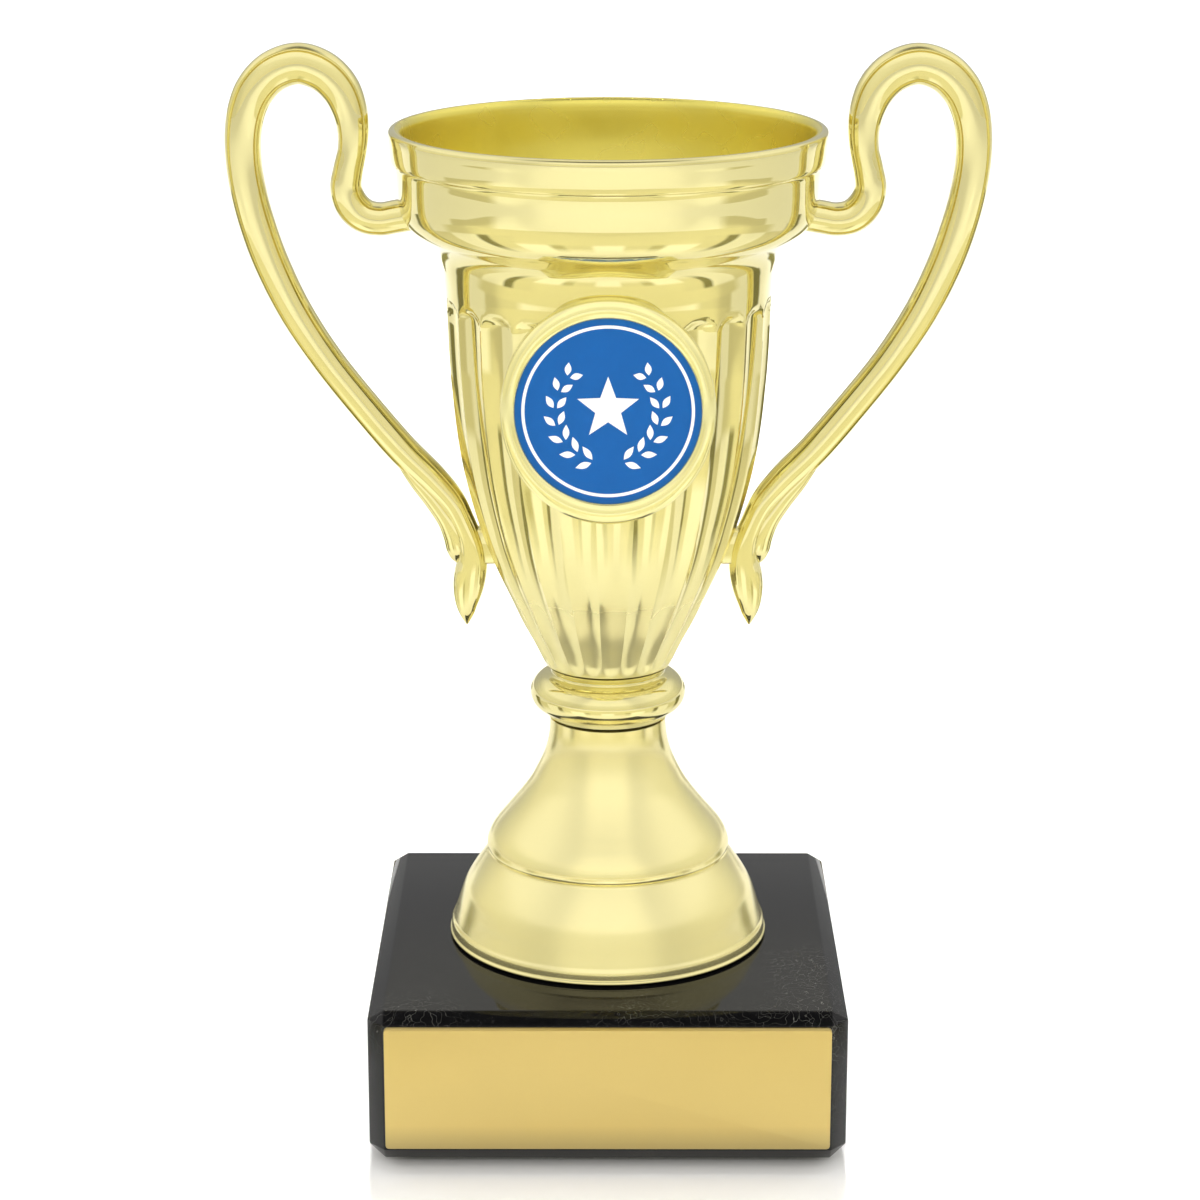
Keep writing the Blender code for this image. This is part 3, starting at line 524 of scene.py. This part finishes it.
# ------------------------------------------------------------ foot and collar
def flared_foot():
    """Bell foot: lipped flange, convex lower bell, stepped ring, concave neck."""
    r = FOOT_RADIUS / MM
    top = (FOOT_TOP - FOOT_BOTTOM) / MM
    outer = outline_from([
        (6, [(r - 0.25, 0.0), (r - 0.06, 0.03), (r, 0.16), (r - 0.05, 0.32), (r - 0.2, 0.42)]),
        (8, [(r - 0.22, 0.45), (r - 0.24, 1.1), (r - 0.27, 1.45), (r - 0.38, 1.66),
             (r - 0.55, 1.88)]),
        (44, [(r - 0.62, 2.1), (r - 1.02, 3.3), (r - 1.48, 4.8), (r - 2.05, 6.4),
              (r - 2.9, 7.9), (r - 3.9, 9.4), (r - 4.72, 10.5), (r - 5.2, 11.1)]),
        (14, [(r - 5.24, 11.18), (r - 5.26, 11.35), (r - 5.14, 11.52), (r - 5.02, 11.75),
              (r - 4.98, 12.05), (r - 5.02, 12.5), (r - 5.16, 12.95)]),
        (60, [(r - 5.18, 13.0), (r - 5.5, 13.7), (r - 6.1, 14.6), (r - 7.2, 15.95),
              (r - 8.4, 17.4), (r - 9.6, 18.95), (r - 10.65, 20.5), (r - 11.45, 22.0),
              (r - 12.2, 23.6), (r - 12.75, 25.1), (r - 13.1, 26.6), (r - 13.26, 28.0),
              (r - 13.3, top)]),
    ])
    wall = 1.5 * MM
    neck, neck_top = outer[-1]
    ceiling = neck_top - 3.2 * MM
    inner = [(SOCKET * MM, neck_top), (SOCKET * MM, neck_top - SOCKET_DEPTH * MM),
             (BORE * MM, neck_top - SOCKET_DEPTH * MM), (BORE * MM, ceiling),
             (neck - wall, ceiling)]
    for radius, height in outer[::-6]:
        if 2.2 * MM < height < ceiling - 2 * MM:
            inner.append((radius - wall * 1.15, height - wall * 0.5))
    inner.append((FOOT_RADIUS - 1.7 * MM, 0.0))
    outline = np.vstack([outer, np.array(inner)])
    foot = turned("flared_foot", outline, FOOT_BOTTOM, 192)
    place(paint(foot, GOLD_FOOT), "gold_foil_foot", "stem_foot")


def collar():
    """Round ring on a short band, with a hollow neck flaring up to the bowl."""
    ring = 7.7
    tube = COLLAR_HIGH.x / MM - ring
    level = 0.8 + tube
    top = (COLLAR_TOP - COLLAR_BOTTOM) / MM
    spigot_end = -SPIGOT_LENGTH / MM
    arc = []
    for k in range(41):
        turn = math.radians(-80 + k * 158 / 40)
        arc.append((ring + tube * math.cos(turn), level + tube * math.sin(turn)))
    outline = outline_from([
        (2, [(SPIGOT, spigot_end), (SPIGOT, 0.0)]),
        (8, [(4.1, 0.0), (7.6, 0.0), (7.82, 0.12), (7.9, 0.4), (7.84, 0.7), (7.7, 0.82)]),
        (41, arc),
        (12, [(ring + tube * 0.1, level + tube * 0.985), (7.42, 5.62), (7.22, 5.9),
              (7.3, 6.2), (7.55, 6.5), (7.8, top)]),
        (2, [(SOCKET, top), (SOCKET, top - SOCKET_DEPTH)]),
        (2, [(BORE, top - SOCKET_DEPTH), (BORE, spigot_end)]),
    ])
    made = turned("collar_torus", outline, COLLAR_BOTTOM, 160)
    place(paint(made, GOLD), "gold_foil_plastic", "collar_ring")


# ------------------------------------------------------------ bowl
BOWL_HEIGHT_MM = (BOWL_TOP - BOWL_BOTTOM) / MM
BOWL_FLOOR = 2.2              # mm
FLUTE_TOP = 48.1 * MM
FLUTE_DEPTH = 0.62 * MM
ARCH_DROP = 1.5 * MM          # rise of the round head of a flute
ARCH_RUN = 0.75 * MM          # slope from the plain band into the flute


def flute_depth(height, angle):
    """Channel depth: hollow between sharp ridges, with round heads and feet."""
    phase = (angle - FLUTE_TURN + math.pi / 2) * FLUTE_COUNT / math.tau
    across = abs((phase - math.floor(phase)) * 2 - 1)      # 0 mid channel, 1 on a ridge
    hollow = 1 - across ** 1.9
    round_end = 1 - math.sqrt(max(0.0, 1 - across ** 2))
    head = FLUTE_TOP - ARCH_DROP * round_end
    foot = 0.6 * MM + 1.1 * MM * round_end
    rise = min(max((head - height) / ARCH_RUN, 0.0), 1.0)
    fall = min(max((height - foot) / ARCH_RUN, 0.0), 1.0)
    narrowing = 0.55 + 0.45 * min(height / (20 * MM), 1.0)
    ends = math.sin(rise * math.pi / 2) * math.sin(fall * math.pi / 2)
    return FLUTE_DEPTH * narrowing * ends * hollow


def fluted_bowl():
    """Bowl with its flutes, plain neck, shoulder and rim, and a softer-gloss lining whose deeper
    gold is painted shade.
    """
    r = RIM_RADIUS / MM
    outer = outline_from([
        (112, [(8.1, 0.0), (8.75, 1.3), (9.45, 2.75), (11.05, 5.75), (12.42, 8.75),
               (13.82, 11.75), (15.12, 14.75), (16.24, 17.75), (17.16, 20.75),
               (17.95, 23.75), (18.62, 26.75), (19.12, 29.75), (19.5, 32.75),
               (19.8, 35.75), (20.05, 38.75), (20.22, 41.75), (20.33, 44.75),
               (20.42, 47.2), (20.58, 49.2)]),
        (44, [(20.6, 49.4), (20.72, 51.0), (20.9, 52.4), (21.25, 53.7), (21.95, 54.75),
              (22.95, 55.65), (24.1, 56.4), (25.1, 57.3), (25.8, 58.5), (26.15, 59.9),
              (26.3, 61.6), (26.4, 63.4), (26.5, 64.55)]),
        (6, [(26.52, 64.62), (26.62, 64.86), (26.86, 64.98), (27.0, 65.06)]),
        (10, [(27.04, 65.12), (27.12, 65.6), (27.2, 66.6), (27.27, 67.6)]),
        (14, [(27.28, 67.7), (r, 68.05), (r, 68.5), (r - 0.12, 68.85),
              (r - 0.45, 69.05), (r - 0.85, BOWL_HEIGHT_MM)]),
    ])
    inner = outline_from([
        (8, [(r - 1.0, BOWL_HEIGHT_MM - 0.02), (r - 1.35, 68.9), (r - 1.6, 68.4),
             (r - 1.7, 67.6)]),
        (50, [(r - 1.72, 67.4), (25.4, 64.0), (24.9, 61.0), (24.4, 58.9), (23.4, 57.4),
              (21.7, 56.4), (20.2, 55.2), (19.4, 53.4), (19.0, 51.0), (18.6, 47.0),
              (18.35, 42.0), (17.9, 36.0), (17.3, 30.0), (16.2, 24.0), (14.6, 18.0),
              (12.3, 12.0), (9.6, 6.0), (8.2, 3.4), (7.2, 2.45), (6.4, BOWL_FLOOR)]),
        (2, [(6.4, BOWL_FLOOR), (BORE, BOWL_FLOOR)]),
    ])
    skin = 0.35 * MM
    centre = (BORE * MM, BOWL_FLOOR * MM - skin)
    back = [(x + skin, z - (skin if z < 4 * MM else 0.0)) for x, z in inner if x > 6.5 * MM]
    core = [centre, (BORE * MM, -SPIGOT_LENGTH), (SPIGOT * MM, -SPIGOT_LENGTH),
            (SPIGOT * MM, 0.0)]
    outline = np.vstack([outer, np.array(back + core)])
    fluted = len(outer)
    lining = np.vstack([inner, np.array([centre] + back[::-1])])

    def shape(index, radius, height, angle):
        if index < fluted and height < FLUTE_TOP:
            return radius - flute_depth(height, angle)
        return radius

    bowl = turned("fluted_bowl", outline, BOWL_BOTTOM, FLUTE_COUNT * 14,
                  FLUTE_TURN - math.pi / 2, shape=shape, smooth_angle=40)
    place(paint(bowl, GOLD_BOWL), "gold_foil_plastic", "cup_bowl")
    lined = turned("bowl_lining", lining, BOWL_BOTTOM, 256)
    place(paint(lined, GOLD_INSIDE_SHADED), "gold_foil_plastic")


# ------------------------------------------------------------ handles
# in mm
SEAT = BOWL_BOTTOM / MM + 58.285
LUG_LEVEL = BOWL_BOTTOM / MM + 15.5
LUG_SEAT_RADIUS = 15.37
LUG_HALF_HEIGHT = 2.3
LUG_HALF_THICKNESS = 1.2
STRAP_HALF_THICKNESS = 2.28   # of the upper scroll
STRAP_GROOVE = 0.13           # of the upper scroll, as a share


def descent_spot(out, share):
    """A point outside the line from the rim to the lower lug, in mm."""
    rim = RIM_RADIUS / MM
    reach = rim + (LUG_SEAT_RADIUS - rim) * min(share, 1.0)
    return reach + out, SEAT - (SEAT - LUG_LEVEL) * share


def strap_rows():
    """Centre line (from the axis, height), half width, groove depth, half thickness."""
    rim = RIM_RADIUS / MM
    rows = [(rim - 2.6, SEAT - 0.1, 2.05, 0.05, 2.2)]
    for out, rise, half in (
            (-0.8, -0.4, 2.05), (1.1, -0.7, 2.05), (3.1, -0.3, 2.1), (4.6, 1.1, 2.1),
            (5.3, 3.2, 2.0), (5.0, 5.4, 1.9), (4.4, 8.2, 1.85), (4.3, 10.7, 2.0),
            (4.7, 13.1, 2.2), (5.8, 15.6, 2.4), (7.8, 17.6, 2.5), (10.8, 18.6, 2.55),
            (13.9, 17.7, 2.55), (16.1, 15.6, 2.5), (17.3, 13.1, 2.4), (17.9, 10.0, 2.3),
            (17.9, 6.2, 2.25)):
        rows.append((rim + out, SEAT + rise, half, STRAP_GROOVE, STRAP_HALF_THICKNESS))
    for out, share, half, groove, deep in (
            (16.7, -0.05, 2.25, STRAP_GROOVE, STRAP_HALF_THICKNESS),
            (16.8, 0.05, 2.25, STRAP_GROOVE, STRAP_HALF_THICKNESS),
            (16.5, 0.152, 2.2, 0.14, 2.26), (15.4, 0.29, 2.1, 0.15, 2.22),
            (13.3, 0.432, 2.0, 0.2, 2.16), (10.3, 0.577, 2.0, 0.24, 2.1),
            (7.2, 0.708, 2.0, 0.22, 2.1), (4.5, 0.797, 1.9, 0.16, 2.1),
            (2.9, 0.864, 1.7, 0.1, 2.1), (2.3, 0.928, 1.55, 0.06, 2.05),
            (2.1, 0.993, 1.65, 0.04, 2.0), (2.0, 1.044, 1.9, 0.03, 1.9),
            (2.3, 1.089, 2.08, 0.02, 1.75), (2.6, 1.136, 1.95, 0.0, 1.5),
            (2.8, 1.18, 1.5, 0.0, 1.15), (2.8, 1.217, 0.92, 0.0, 0.7),
            (2.8, 1.248, 0.12, 0.0, 0.12)):
        rows.append((*descent_spot(out, share), half, groove, deep))
    return rows


def thumb_rows():
    """The small outer leaf beside the strap's end, in the same terms."""
    rows = []
    for out, share, half, deep in (
            (8.0, 0.742, 0.55, 1.3), (6.6, 0.800, 1.1, 1.55), (5.15, 0.860, 1.35, 1.6),
            (4.2, 0.921, 1.4, 1.6), (3.95, 0.974, 1.45, 1.5), (4.0, 1.012, 1.35, 1.3),
            (3.9, 1.036, 0.95, 0.9), (3.7, 1.058, 0.2, 0.3)):
        rows.append((*descent_spot(out, share), half, 0.0, deep))
    return rows


def section_points(groove):
    """Cross-section of the strap: broad crowned faces and bevelled flanks, with a
    line between them that deepens into a groove."""
    low = 1.4 * groove
    quarter = [(1.0, 0.0), (0.99, 0.22), (0.95, 0.42), (0.88, 0.58), (0.80, 0.69),
               (0.755, 0.77 - low), (0.71, 0.79 - low), (0.64, 0.85), (0.5, 0.91),
               (0.34, 0.965), (0.17, 0.99), (0.0, 1.0)]
    upper = quarter + [(-u, v) for u, v in quarter[-2::-1]]
    lower = [(-u, -v) for u, v in upper[1:-1]]
    return upper + lower


def strap_mesh(rows, side, count):
    """Sweep the cross-section along the centre line."""
    line = curve_through(rows, count)
    bm = bmesh.new()
    rings = []
    for i, (x, z, half, groove, deep) in enumerate(line):
        before, after = line[max(i - 1, 0)], line[min(i + 1, count - 1)]
        run = Vector((after[0] - before[0], 0, after[1] - before[1])).normalized()
        across = Vector((run.z, 0, -run.x))
        ring = []
        for u, v in section_points(max(groove, 0.0)):
            spot = Vector((x, 0, z)) + across * (u * half) + Vector((0, v * deep, 0))
            ring.append(bm.verts.new((side * spot.x * MM, spot.y * MM, spot.z * MM)))
        rings.append(ring)
    close_tube(bm, rings)
    return bm


def rounded_block(low, high, soft):
    """Block between two corners, its edges rounded."""
    bm = bmesh.new()
    middle = Matrix.Translation((low + high) / 2)
    bmesh.ops.create_cube(bm, size=1.0,
                          matrix=middle @ Matrix.Diagonal((*(high - low), 1.0)))
    bmesh.ops.bevel(bm, geom=bm.edges[:], offset=soft, segments=3, profile=0.5,
                    affect="EDGES")
    return bm


def scroll_handle(side_name, side):
    """Strap, thumb leaf and the lug that joins them to the bowl; side is -1 or 1."""
    node = f"handle_{side_name}"
    strap = add_object(f"{node}_strap", strap_mesh(strap_rows(), side, 420), 38)
    place(paint(strap, GOLD), "gold_foil_plastic", node)
    thumb = add_object(f"{node}_thumb", strap_mesh(thumb_rows(), side, 80), 38)
    place(paint(thumb, GOLD), "gold_foil_plastic")
    near, far = sorted((side * (LUG_SEAT_RADIUS - 1.0), side * (LUG_SEAT_RADIUS + 1.6)))
    low = Vector((near, -LUG_HALF_THICKNESS, LUG_LEVEL - LUG_HALF_HEIGHT)) * MM
    high = Vector((far, LUG_HALF_THICKNESS, LUG_LEVEL + LUG_HALF_HEIGHT)) * MM
    lug = add_object(f"{node}_lug", rounded_block(low, high, 0.3 * MM), 30)
    place(paint(lug, GOLD), "gold_foil_plastic")


# ------------------------------------------------------------ insert
INK_LEVEL = -0.18             # mm, face of the blue disc from the CAD disc's middle
INK_THICKNESS = 0.015         # mm
DISC_CENTRE = Vector((0.0, (DISC_LOW.y + DISC_HIGH.y) / 2, (DISC_LOW.z + DISC_HIGH.z) / 2))


def facing():
    """Puts local +Z along the insert's facing direction, from the disc's middle."""
    turn = Matrix.Rotation(math.pi / 2 - HOLDER_TILT, 4, "X")
    return Matrix.Translation(DISC_CENTRE) @ turn


def insert_frame():
    """Rounded frame with a stepped outer flange and a plain back wall running into the bowl."""
    wide = HOLDER_HIGH.x / MM
    recess = 11.42
    mouth = 11.22
    face = 0.5
    back = -9.5
    crown = (wide + mouth) / 2
    outline = outline_from([
        (2, [(wide - 0.1, back), (wide - 0.1, face - 1.5)]),
        (26, [(wide - 0.08, face - 1.35), (wide, face - 1.1), (wide - 0.02, face - 0.75),
              (wide - 0.2, face - 0.38), (crown + 0.35, face - 0.1), (crown + 0.1, face),
              (crown - 0.3, face - 0.02), (mouth + 0.3, face - 0.16),
              (mouth + 0.08, face - 0.36), (mouth, face - 0.56)]),
        (2, [(mouth, face - 0.62), (recess, face - 0.62)]),
        (2, [(recess, face - 0.64), (recess, face - 1.3)]),
        (2, [(recess - 0.5, face - 1.3), (recess - 0.5, back)]),
    ])
    stretch = (HOLDER_HIGH.z - HOLDER_LOW.z) / 2 / (wide * MM) / math.cos(HOLDER_TILT)

    def shape(index, radius, height, angle):
        share = max(0.0, (radius / MM - mouth) / (wide - mouth))
        return radius * (1 + (stretch - 1) * share * math.sin(angle) ** 2)

    frame_ring = turned("insert_frame", outline, 0.0, 200, shape=shape)
    frame_ring.data.transform(facing())
    place(paint(frame_ring, GOLD_HOLDER), "gold_foil_holder", "insert_holder")


def flat_shape(name, loops, depth, thickness, material):
    """A thin flat piece on the insert: outer loop of (x, y) in mm, or two for a ring."""
    bm = bmesh.new()
    levels = (depth * MM, (depth + thickness) * MM)
    made = [[[bm.verts.new((x * MM, y * MM, z)) for x, y in loop] for z in levels]
            for loop in loops]
    for low, high in made:
        bridge(bm, low, high)
    if len(made) == 1:
        bm.faces.new(made[0][0])
        bm.faces.new(made[0][1])
    else:
        for outer, inner in zip(*made):
            bridge(bm, outer, inner)
    piece = add_object(name, bm, 30)
    piece.data.transform(facing())
    return place(paint(piece, material), "blue_print")


def white_print(name, *loops):
    """White ink on the blue disc."""
    return flat_shape(name, loops, INK_LEVEL, INK_THICKNESS, WHITE)


def circle(radius, count=200):
    return [(radius * math.cos(math.tau * k / count), radius * math.sin(math.tau * k / count))
            for k in range(count)]


def leaf(cx, cy, direction, length, width):
    """Outline of a laurel leaf: two arcs meeting in points."""
    side = []
    for k in range(9):
        t = k / 8
        side.append((t * length, width / 2 * math.sin(math.pi * t) * (1.15 - 0.3 * t)))
    points = side + [(x, -y) for x, y in side[-2:0:-1]]
    c, s = math.cos(direction), math.sin(direction)
    return [(cx + x * c - y * s, cy + x * s + y * c) for x, y in points]


def insert_print():
    """Blue disc with a thin white ring, a star and two laurel sprays."""
    disc = flat_shape("blue_disc", [circle(11.38)], INK_LEVEL - 0.6, 0.6, BLUE)
    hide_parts("insert_disc", "insert_adhesive")
    white_print("white_ring", circle(10.42), circle(10.04))
    star = []
    for k in range(10):
        radius = 3.9 if k % 2 == 0 else 1.62
        turn = math.radians(90 + 36 * k)
        star.append((radius * math.cos(turn), 0.35 + radius * math.sin(turn)))
    white_print("white_star", star)
    spray = 6.35
    for side_name, side in (("left", -1), ("right", 1)):
        for k in range(7):
            turn = math.radians(-72 + 19 * k)
            along = turn + math.pi / 2
            for tag, lean, shift in (("out", -0.62, 0.22), ("in", 0.62, -0.22)):
                reach = spray + shift
                points = leaf(reach * math.cos(turn), reach * math.sin(turn), along + lean,
                              2.0 - 0.07 * k, 0.8)
                white_print(f"laurel_{side_name}_{tag}_{k}", [(side * x, y) for x, y in points])


# ------------------------------------------------------------ fasteners
def washer_disc():
    """Flat washer with a rounded stamped edge."""
    low, high = WASHER_LOW.z, WASHER_HIGH.z
    r = WASHER_HIGH.x / MM
    h = (high - low) / MM
    outline = outline_from([
        (6, [(r - 0.12, 0.0), (r - 0.03, 0.04), (r, 0.14), (r, h - 0.2)]),
        (6, [(r - 0.02, h - 0.1), (r - 0.08, h - 0.03), (r - 0.2, h)]),
        (2, [(BORE, h), (BORE, 0.0)]),
    ])
    made = turned("washer_disc", outline, low, 96)
    place(paint(made, ZINC), "zinc_steel", "bowl_washer")


def hex_nut():
    """Hexagon with the corners turned off at the top and a chamfered bore."""
    flats = NUT_HIGH.y
    low = NUT_LOW.z
    h = NUT_HIGH.z - low
    top_round = flats * 0.96
    inside = 1.95 * MM
    bm = bmesh.new()
    steps = 96
    rings = []
    for k in range(steps):
        angle = math.tau * k / steps
        within = (angle % (math.pi / 3)) - math.pi / 6
        hexed = flats / math.cos(within)
        drop = max(0.0, (hexed - top_round) * 0.55)
        ring = [(inside + 0.35 * MM, 0.0), (hexed, 0.0), (hexed, h - drop),
                (min(hexed, top_round), h), (inside + 0.4 * MM, h), (inside, h - 0.35 * MM),
                (inside, 0.3 * MM)]
        rings.append([bm.verts.new((r * math.cos(angle), r * math.sin(angle), low + z))
                      for r, z in ring])
    close_round(bm, rings)
    bmesh.ops.remove_doubles(bm, verts=bm.verts[:], dist=1e-6)
    place(paint(add_object("hex_nut", bm, 22), ZINC), "zinc_steel", "bowl_nut")


def threaded_rod():
    """Rod whose radius follows a helical thread, with a chamfered end."""
    radius = ROD_HIGH.x
    low, high = ROD_LOW.z, ROD_HIGH.z
    depth = 0.38 * MM
    chamfer = 0.5 * MM
    per_turn = 32
    rows = int((high - low) / (THREAD_PITCH / 8))
    bm = bmesh.new()
    rings = []
    for i in range(rows + 1):
        z = low + (high - low) * i / rows
        end = min(high - z, z - low) / chamfer
        ring = []
        for k in range(per_turn):
            turn = k / per_turn
            phase = (z / THREAD_PITCH - turn) % 1.0
            cut = depth * abs(phase * 2 - 1)
            r = radius - cut
            if end < 1:
                r = min(r, radius - chamfer * (1 - end))
            ring.append(bm.verts.new((r * math.cos(math.tau * turn),
                                      r * math.sin(math.tau * turn), z)))
        rings.append(ring)
    close_tube(bm, rings)
    place(paint(add_object("threaded_rod", bm, 50), ZINC), "zinc_steel", "tie_rod")


# ------------------------------------------------------------ stage
def floor():
    """Plain pale paper."""
    bm = bmesh.new()
    bmesh.ops.create_grid(bm, x_segments=1, y_segments=1, size=4.0)
    made = add_object("studio_floor", bm)
    n = Nodes("floor_paper")
    n.shader.inputs["Roughness"].default_value = 0.9
    n.shader.inputs["Specular IOR Level"].default_value = 0.0
    tooth = n.place_texture("ShaderNodeTexNoise", Scale=300.0, Detail=3.0)
    n.link(n.mix(tooth.outputs["Fac"], (0.91, 0.91, 0.91), (0.93, 0.93, 0.93)),
           n.shader.inputs["Base Color"])
    paint(made, n.material)


def soft_box(name, spot, aim, size, power, beam=180.0):
    """A softbox that polished gold doesn't show; a narrow beam, in degrees, stands for
    a honeycomb grid on its front."""
    data = bpy.data.lights.new(name, "AREA")
    data.shape = "RECTANGLE"
    data.size, data.size_y = size
    data.energy = power
    data.spread = math.radians(beam)
    made = bpy.data.objects.new(name, data)
    made.visible_glossy = False
    made.location = spot
    made.rotation_euler = (Vector(aim) - Vector(spot)).to_track_quat("-Z", "Y").to_euler()
    bpy.context.scene.collection.objects.link(made)


def light_tent():
    """Pale tent: bright in front and overhead, dimmer behind, its strength varying
    softly round the sides."""
    world = bpy.data.worlds.new("light_tent")
    bpy.context.scene.world = world
    world.use_nodes = True
    tree = world.node_tree
    back = tree.nodes["Background"]
    coord = tree.nodes.new("ShaderNodeTexCoord")
    split = tree.nodes.new("ShaderNodeSeparateXYZ")
    tree.links.new(coord.outputs["Generated"], split.inputs["Vector"])

    def profile(stops):
        """Colours by the height of a direction, from level at 0 to straight up at 1."""
        ramp = tree.nodes.new("ShaderNodeValToRGB")
        ramp.color_ramp.interpolation = "EASE"
        fill_ramp(ramp, stops)
        tree.links.new(split.outputs["Z"], ramp.inputs["Fac"])
        return ramp.outputs["Color"]

    rear = profile([(0.0, (0.50, 0.50, 0.49)), (0.30, (0.56, 0.56, 0.55)),
                    (0.55, (1.00, 0.98, 0.88)), (0.85, (0.70, 0.68, 0.60)),
                    (1.0, (0.10, 0.10, 0.09))])
    front = profile([(0.0, (0.88, 0.84, 0.68)), (0.30, (0.94, 0.91, 0.78)),
                     (0.52, (1.15, 1.13, 1.09)), (0.84, (1.10, 1.08, 1.06)),
                     (1.0, (0.10, 0.10, 0.09))])
    side = tree.nodes.new("ShaderNodeMapRange")
    side.inputs["From Min"].default_value = 0.45
    side.inputs["From Max"].default_value = 0.90
    tree.links.new(split.outputs["Y"], side.inputs["Value"])
    join = tree.nodes.new("ShaderNodeMix")
    join.data_type = "RGBA"
    sockets = [s for s in join.inputs if s.type == "RGBA"]
    tree.links.new(side.outputs["Result"], join.inputs[0])
    tree.links.new(front, sockets[0])
    tree.links.new(rear, sockets[1])
    tree.links.new([s for s in join.outputs if s.type == "RGBA"][0], back.inputs["Color"])

    panels = tree.nodes.new("ShaderNodeFloatCurve")
    curve = panels.mapping.curves[0]
    ends = (TENT_PANELS[0], TENT_PANELS[-1])
    for point, (away, level) in zip(curve.points, ends):
        point.location = (away / 180, level)
    for away, level in TENT_PANELS[1:-1]:
        curve.points.new(away / 180, level)
    panels.mapping.update()
    tree.links.new(off_front(tree, split), panels.inputs["Value"])
    tree.links.new(panels.outputs["Value"], back.inputs["Strength"])


def lights():
    """Gridded boxes overhead make the floor white behind and before the trophy, and one
    open box over the camera lights the print and the plate."""
    soft_box("table_light", (0, 0.75, 1.2), (0, 0.20, 0), (0.34, 0.50), 0.52, 8.0)
    soft_box("sweep_light", (0, 1.60, 1.2), (0, 1.05, 0), (1.00, 1.30), 3.0, 14.0)
    soft_box("near_light", (0, -0.16, 1.0), (0, -0.16, 0), (0.70, 0.20), 0.44, 6.0)
    soft_box("far_light", (0, -0.44, 1.0), (0, -0.44, 0), (0.50, 0.22), 0.24, 6.0)
    soft_box("front_fill", (0, -0.70, 0.62), (0, 0, 0.06), (0.90, 0.60), 2.9)


def painted_reflection_mat():
    """Painted reflections: a card lying round the trophy whose painted light and dark bands
    polished gold shows as the soft lights and darks of its flutes and bands. Only mirror rays meet
    it."""
    n = Nodes("painted_reflection_card")
    n.shader.inputs["Roughness"].default_value = 1.0
    n.shader.inputs["Specular IOR Level"].default_value = 0.0
    share = off_front(n.tree, n.split_coords())
    reach = n.add("ShaderNodeVectorMath", operation="LENGTH")
    n.link(n.coords(), reach.inputs[0])
    # painted reflections: tone is the colour the gold mirrors from this card as its streaks
    tone = PAPER
    for stops, radii in ((MAT_NEAR, MAT_CLEAR), (MAT_STREAKS, MAT_TO_STREAKS),
                         (MAT_MIDDLE, MAT_TO_MIDDLE), (MAT_OUTER, MAT_TO_OUTER)):
        ring = n.ramp(share, [(away / 180, colour) for away, colour in stops])
        tone = n.mix(n.spread(reach.outputs["Value"], 0.0, 1.0, *radii), tone, ring)
    n.link(tone, n.shader.inputs["Base Color"])
    bm = bmesh.new()
    bmesh.ops.create_circle(bm, cap_ends=True, segments=96, radius=MAT_RADIUS,
                            matrix=Matrix.Translation((0, 0, MAT_LEVEL)))
    made = paint(add_object("painted_reflection_card", bm), n.material)
    made.visible_camera = False
    made.visible_diffuse = False
    made.visible_shadow = False
    made.visible_transmission = False


def camera():
    """Same angle of view as the reference: a long lens looking down 16 degrees."""
    data = bpy.data.cameras.new("camera")
    data.sensor_width = 36.0
    data.lens = 102.5
    data.clip_start = 0.01
    look_down = 16.27
    swing = 0.14
    made = bpy.data.objects.new("camera", data)
    made.location = (0.0, -0.4221, 0.1893)
    made.rotation_euler = (math.radians(90 - look_down), 0.0, math.radians(swing))
    bpy.context.scene.collection.objects.link(made)
    bpy.context.scene.camera = made


def picture_settings():
    scene = bpy.context.scene
    scene.view_settings.view_transform = "Standard"
    scene.view_settings.look = "None"


marble_block()
felt_sheet()
name_plate()
flared_foot()
collar()
fluted_bowl()
scroll_handle("left", -1)
scroll_handle("right", 1)
insert_frame()
insert_print()
washer_disc()
hex_nut()
threaded_rod()
floor()
light_tent()
lights()
painted_reflection_mat()
camera()
picture_settings()
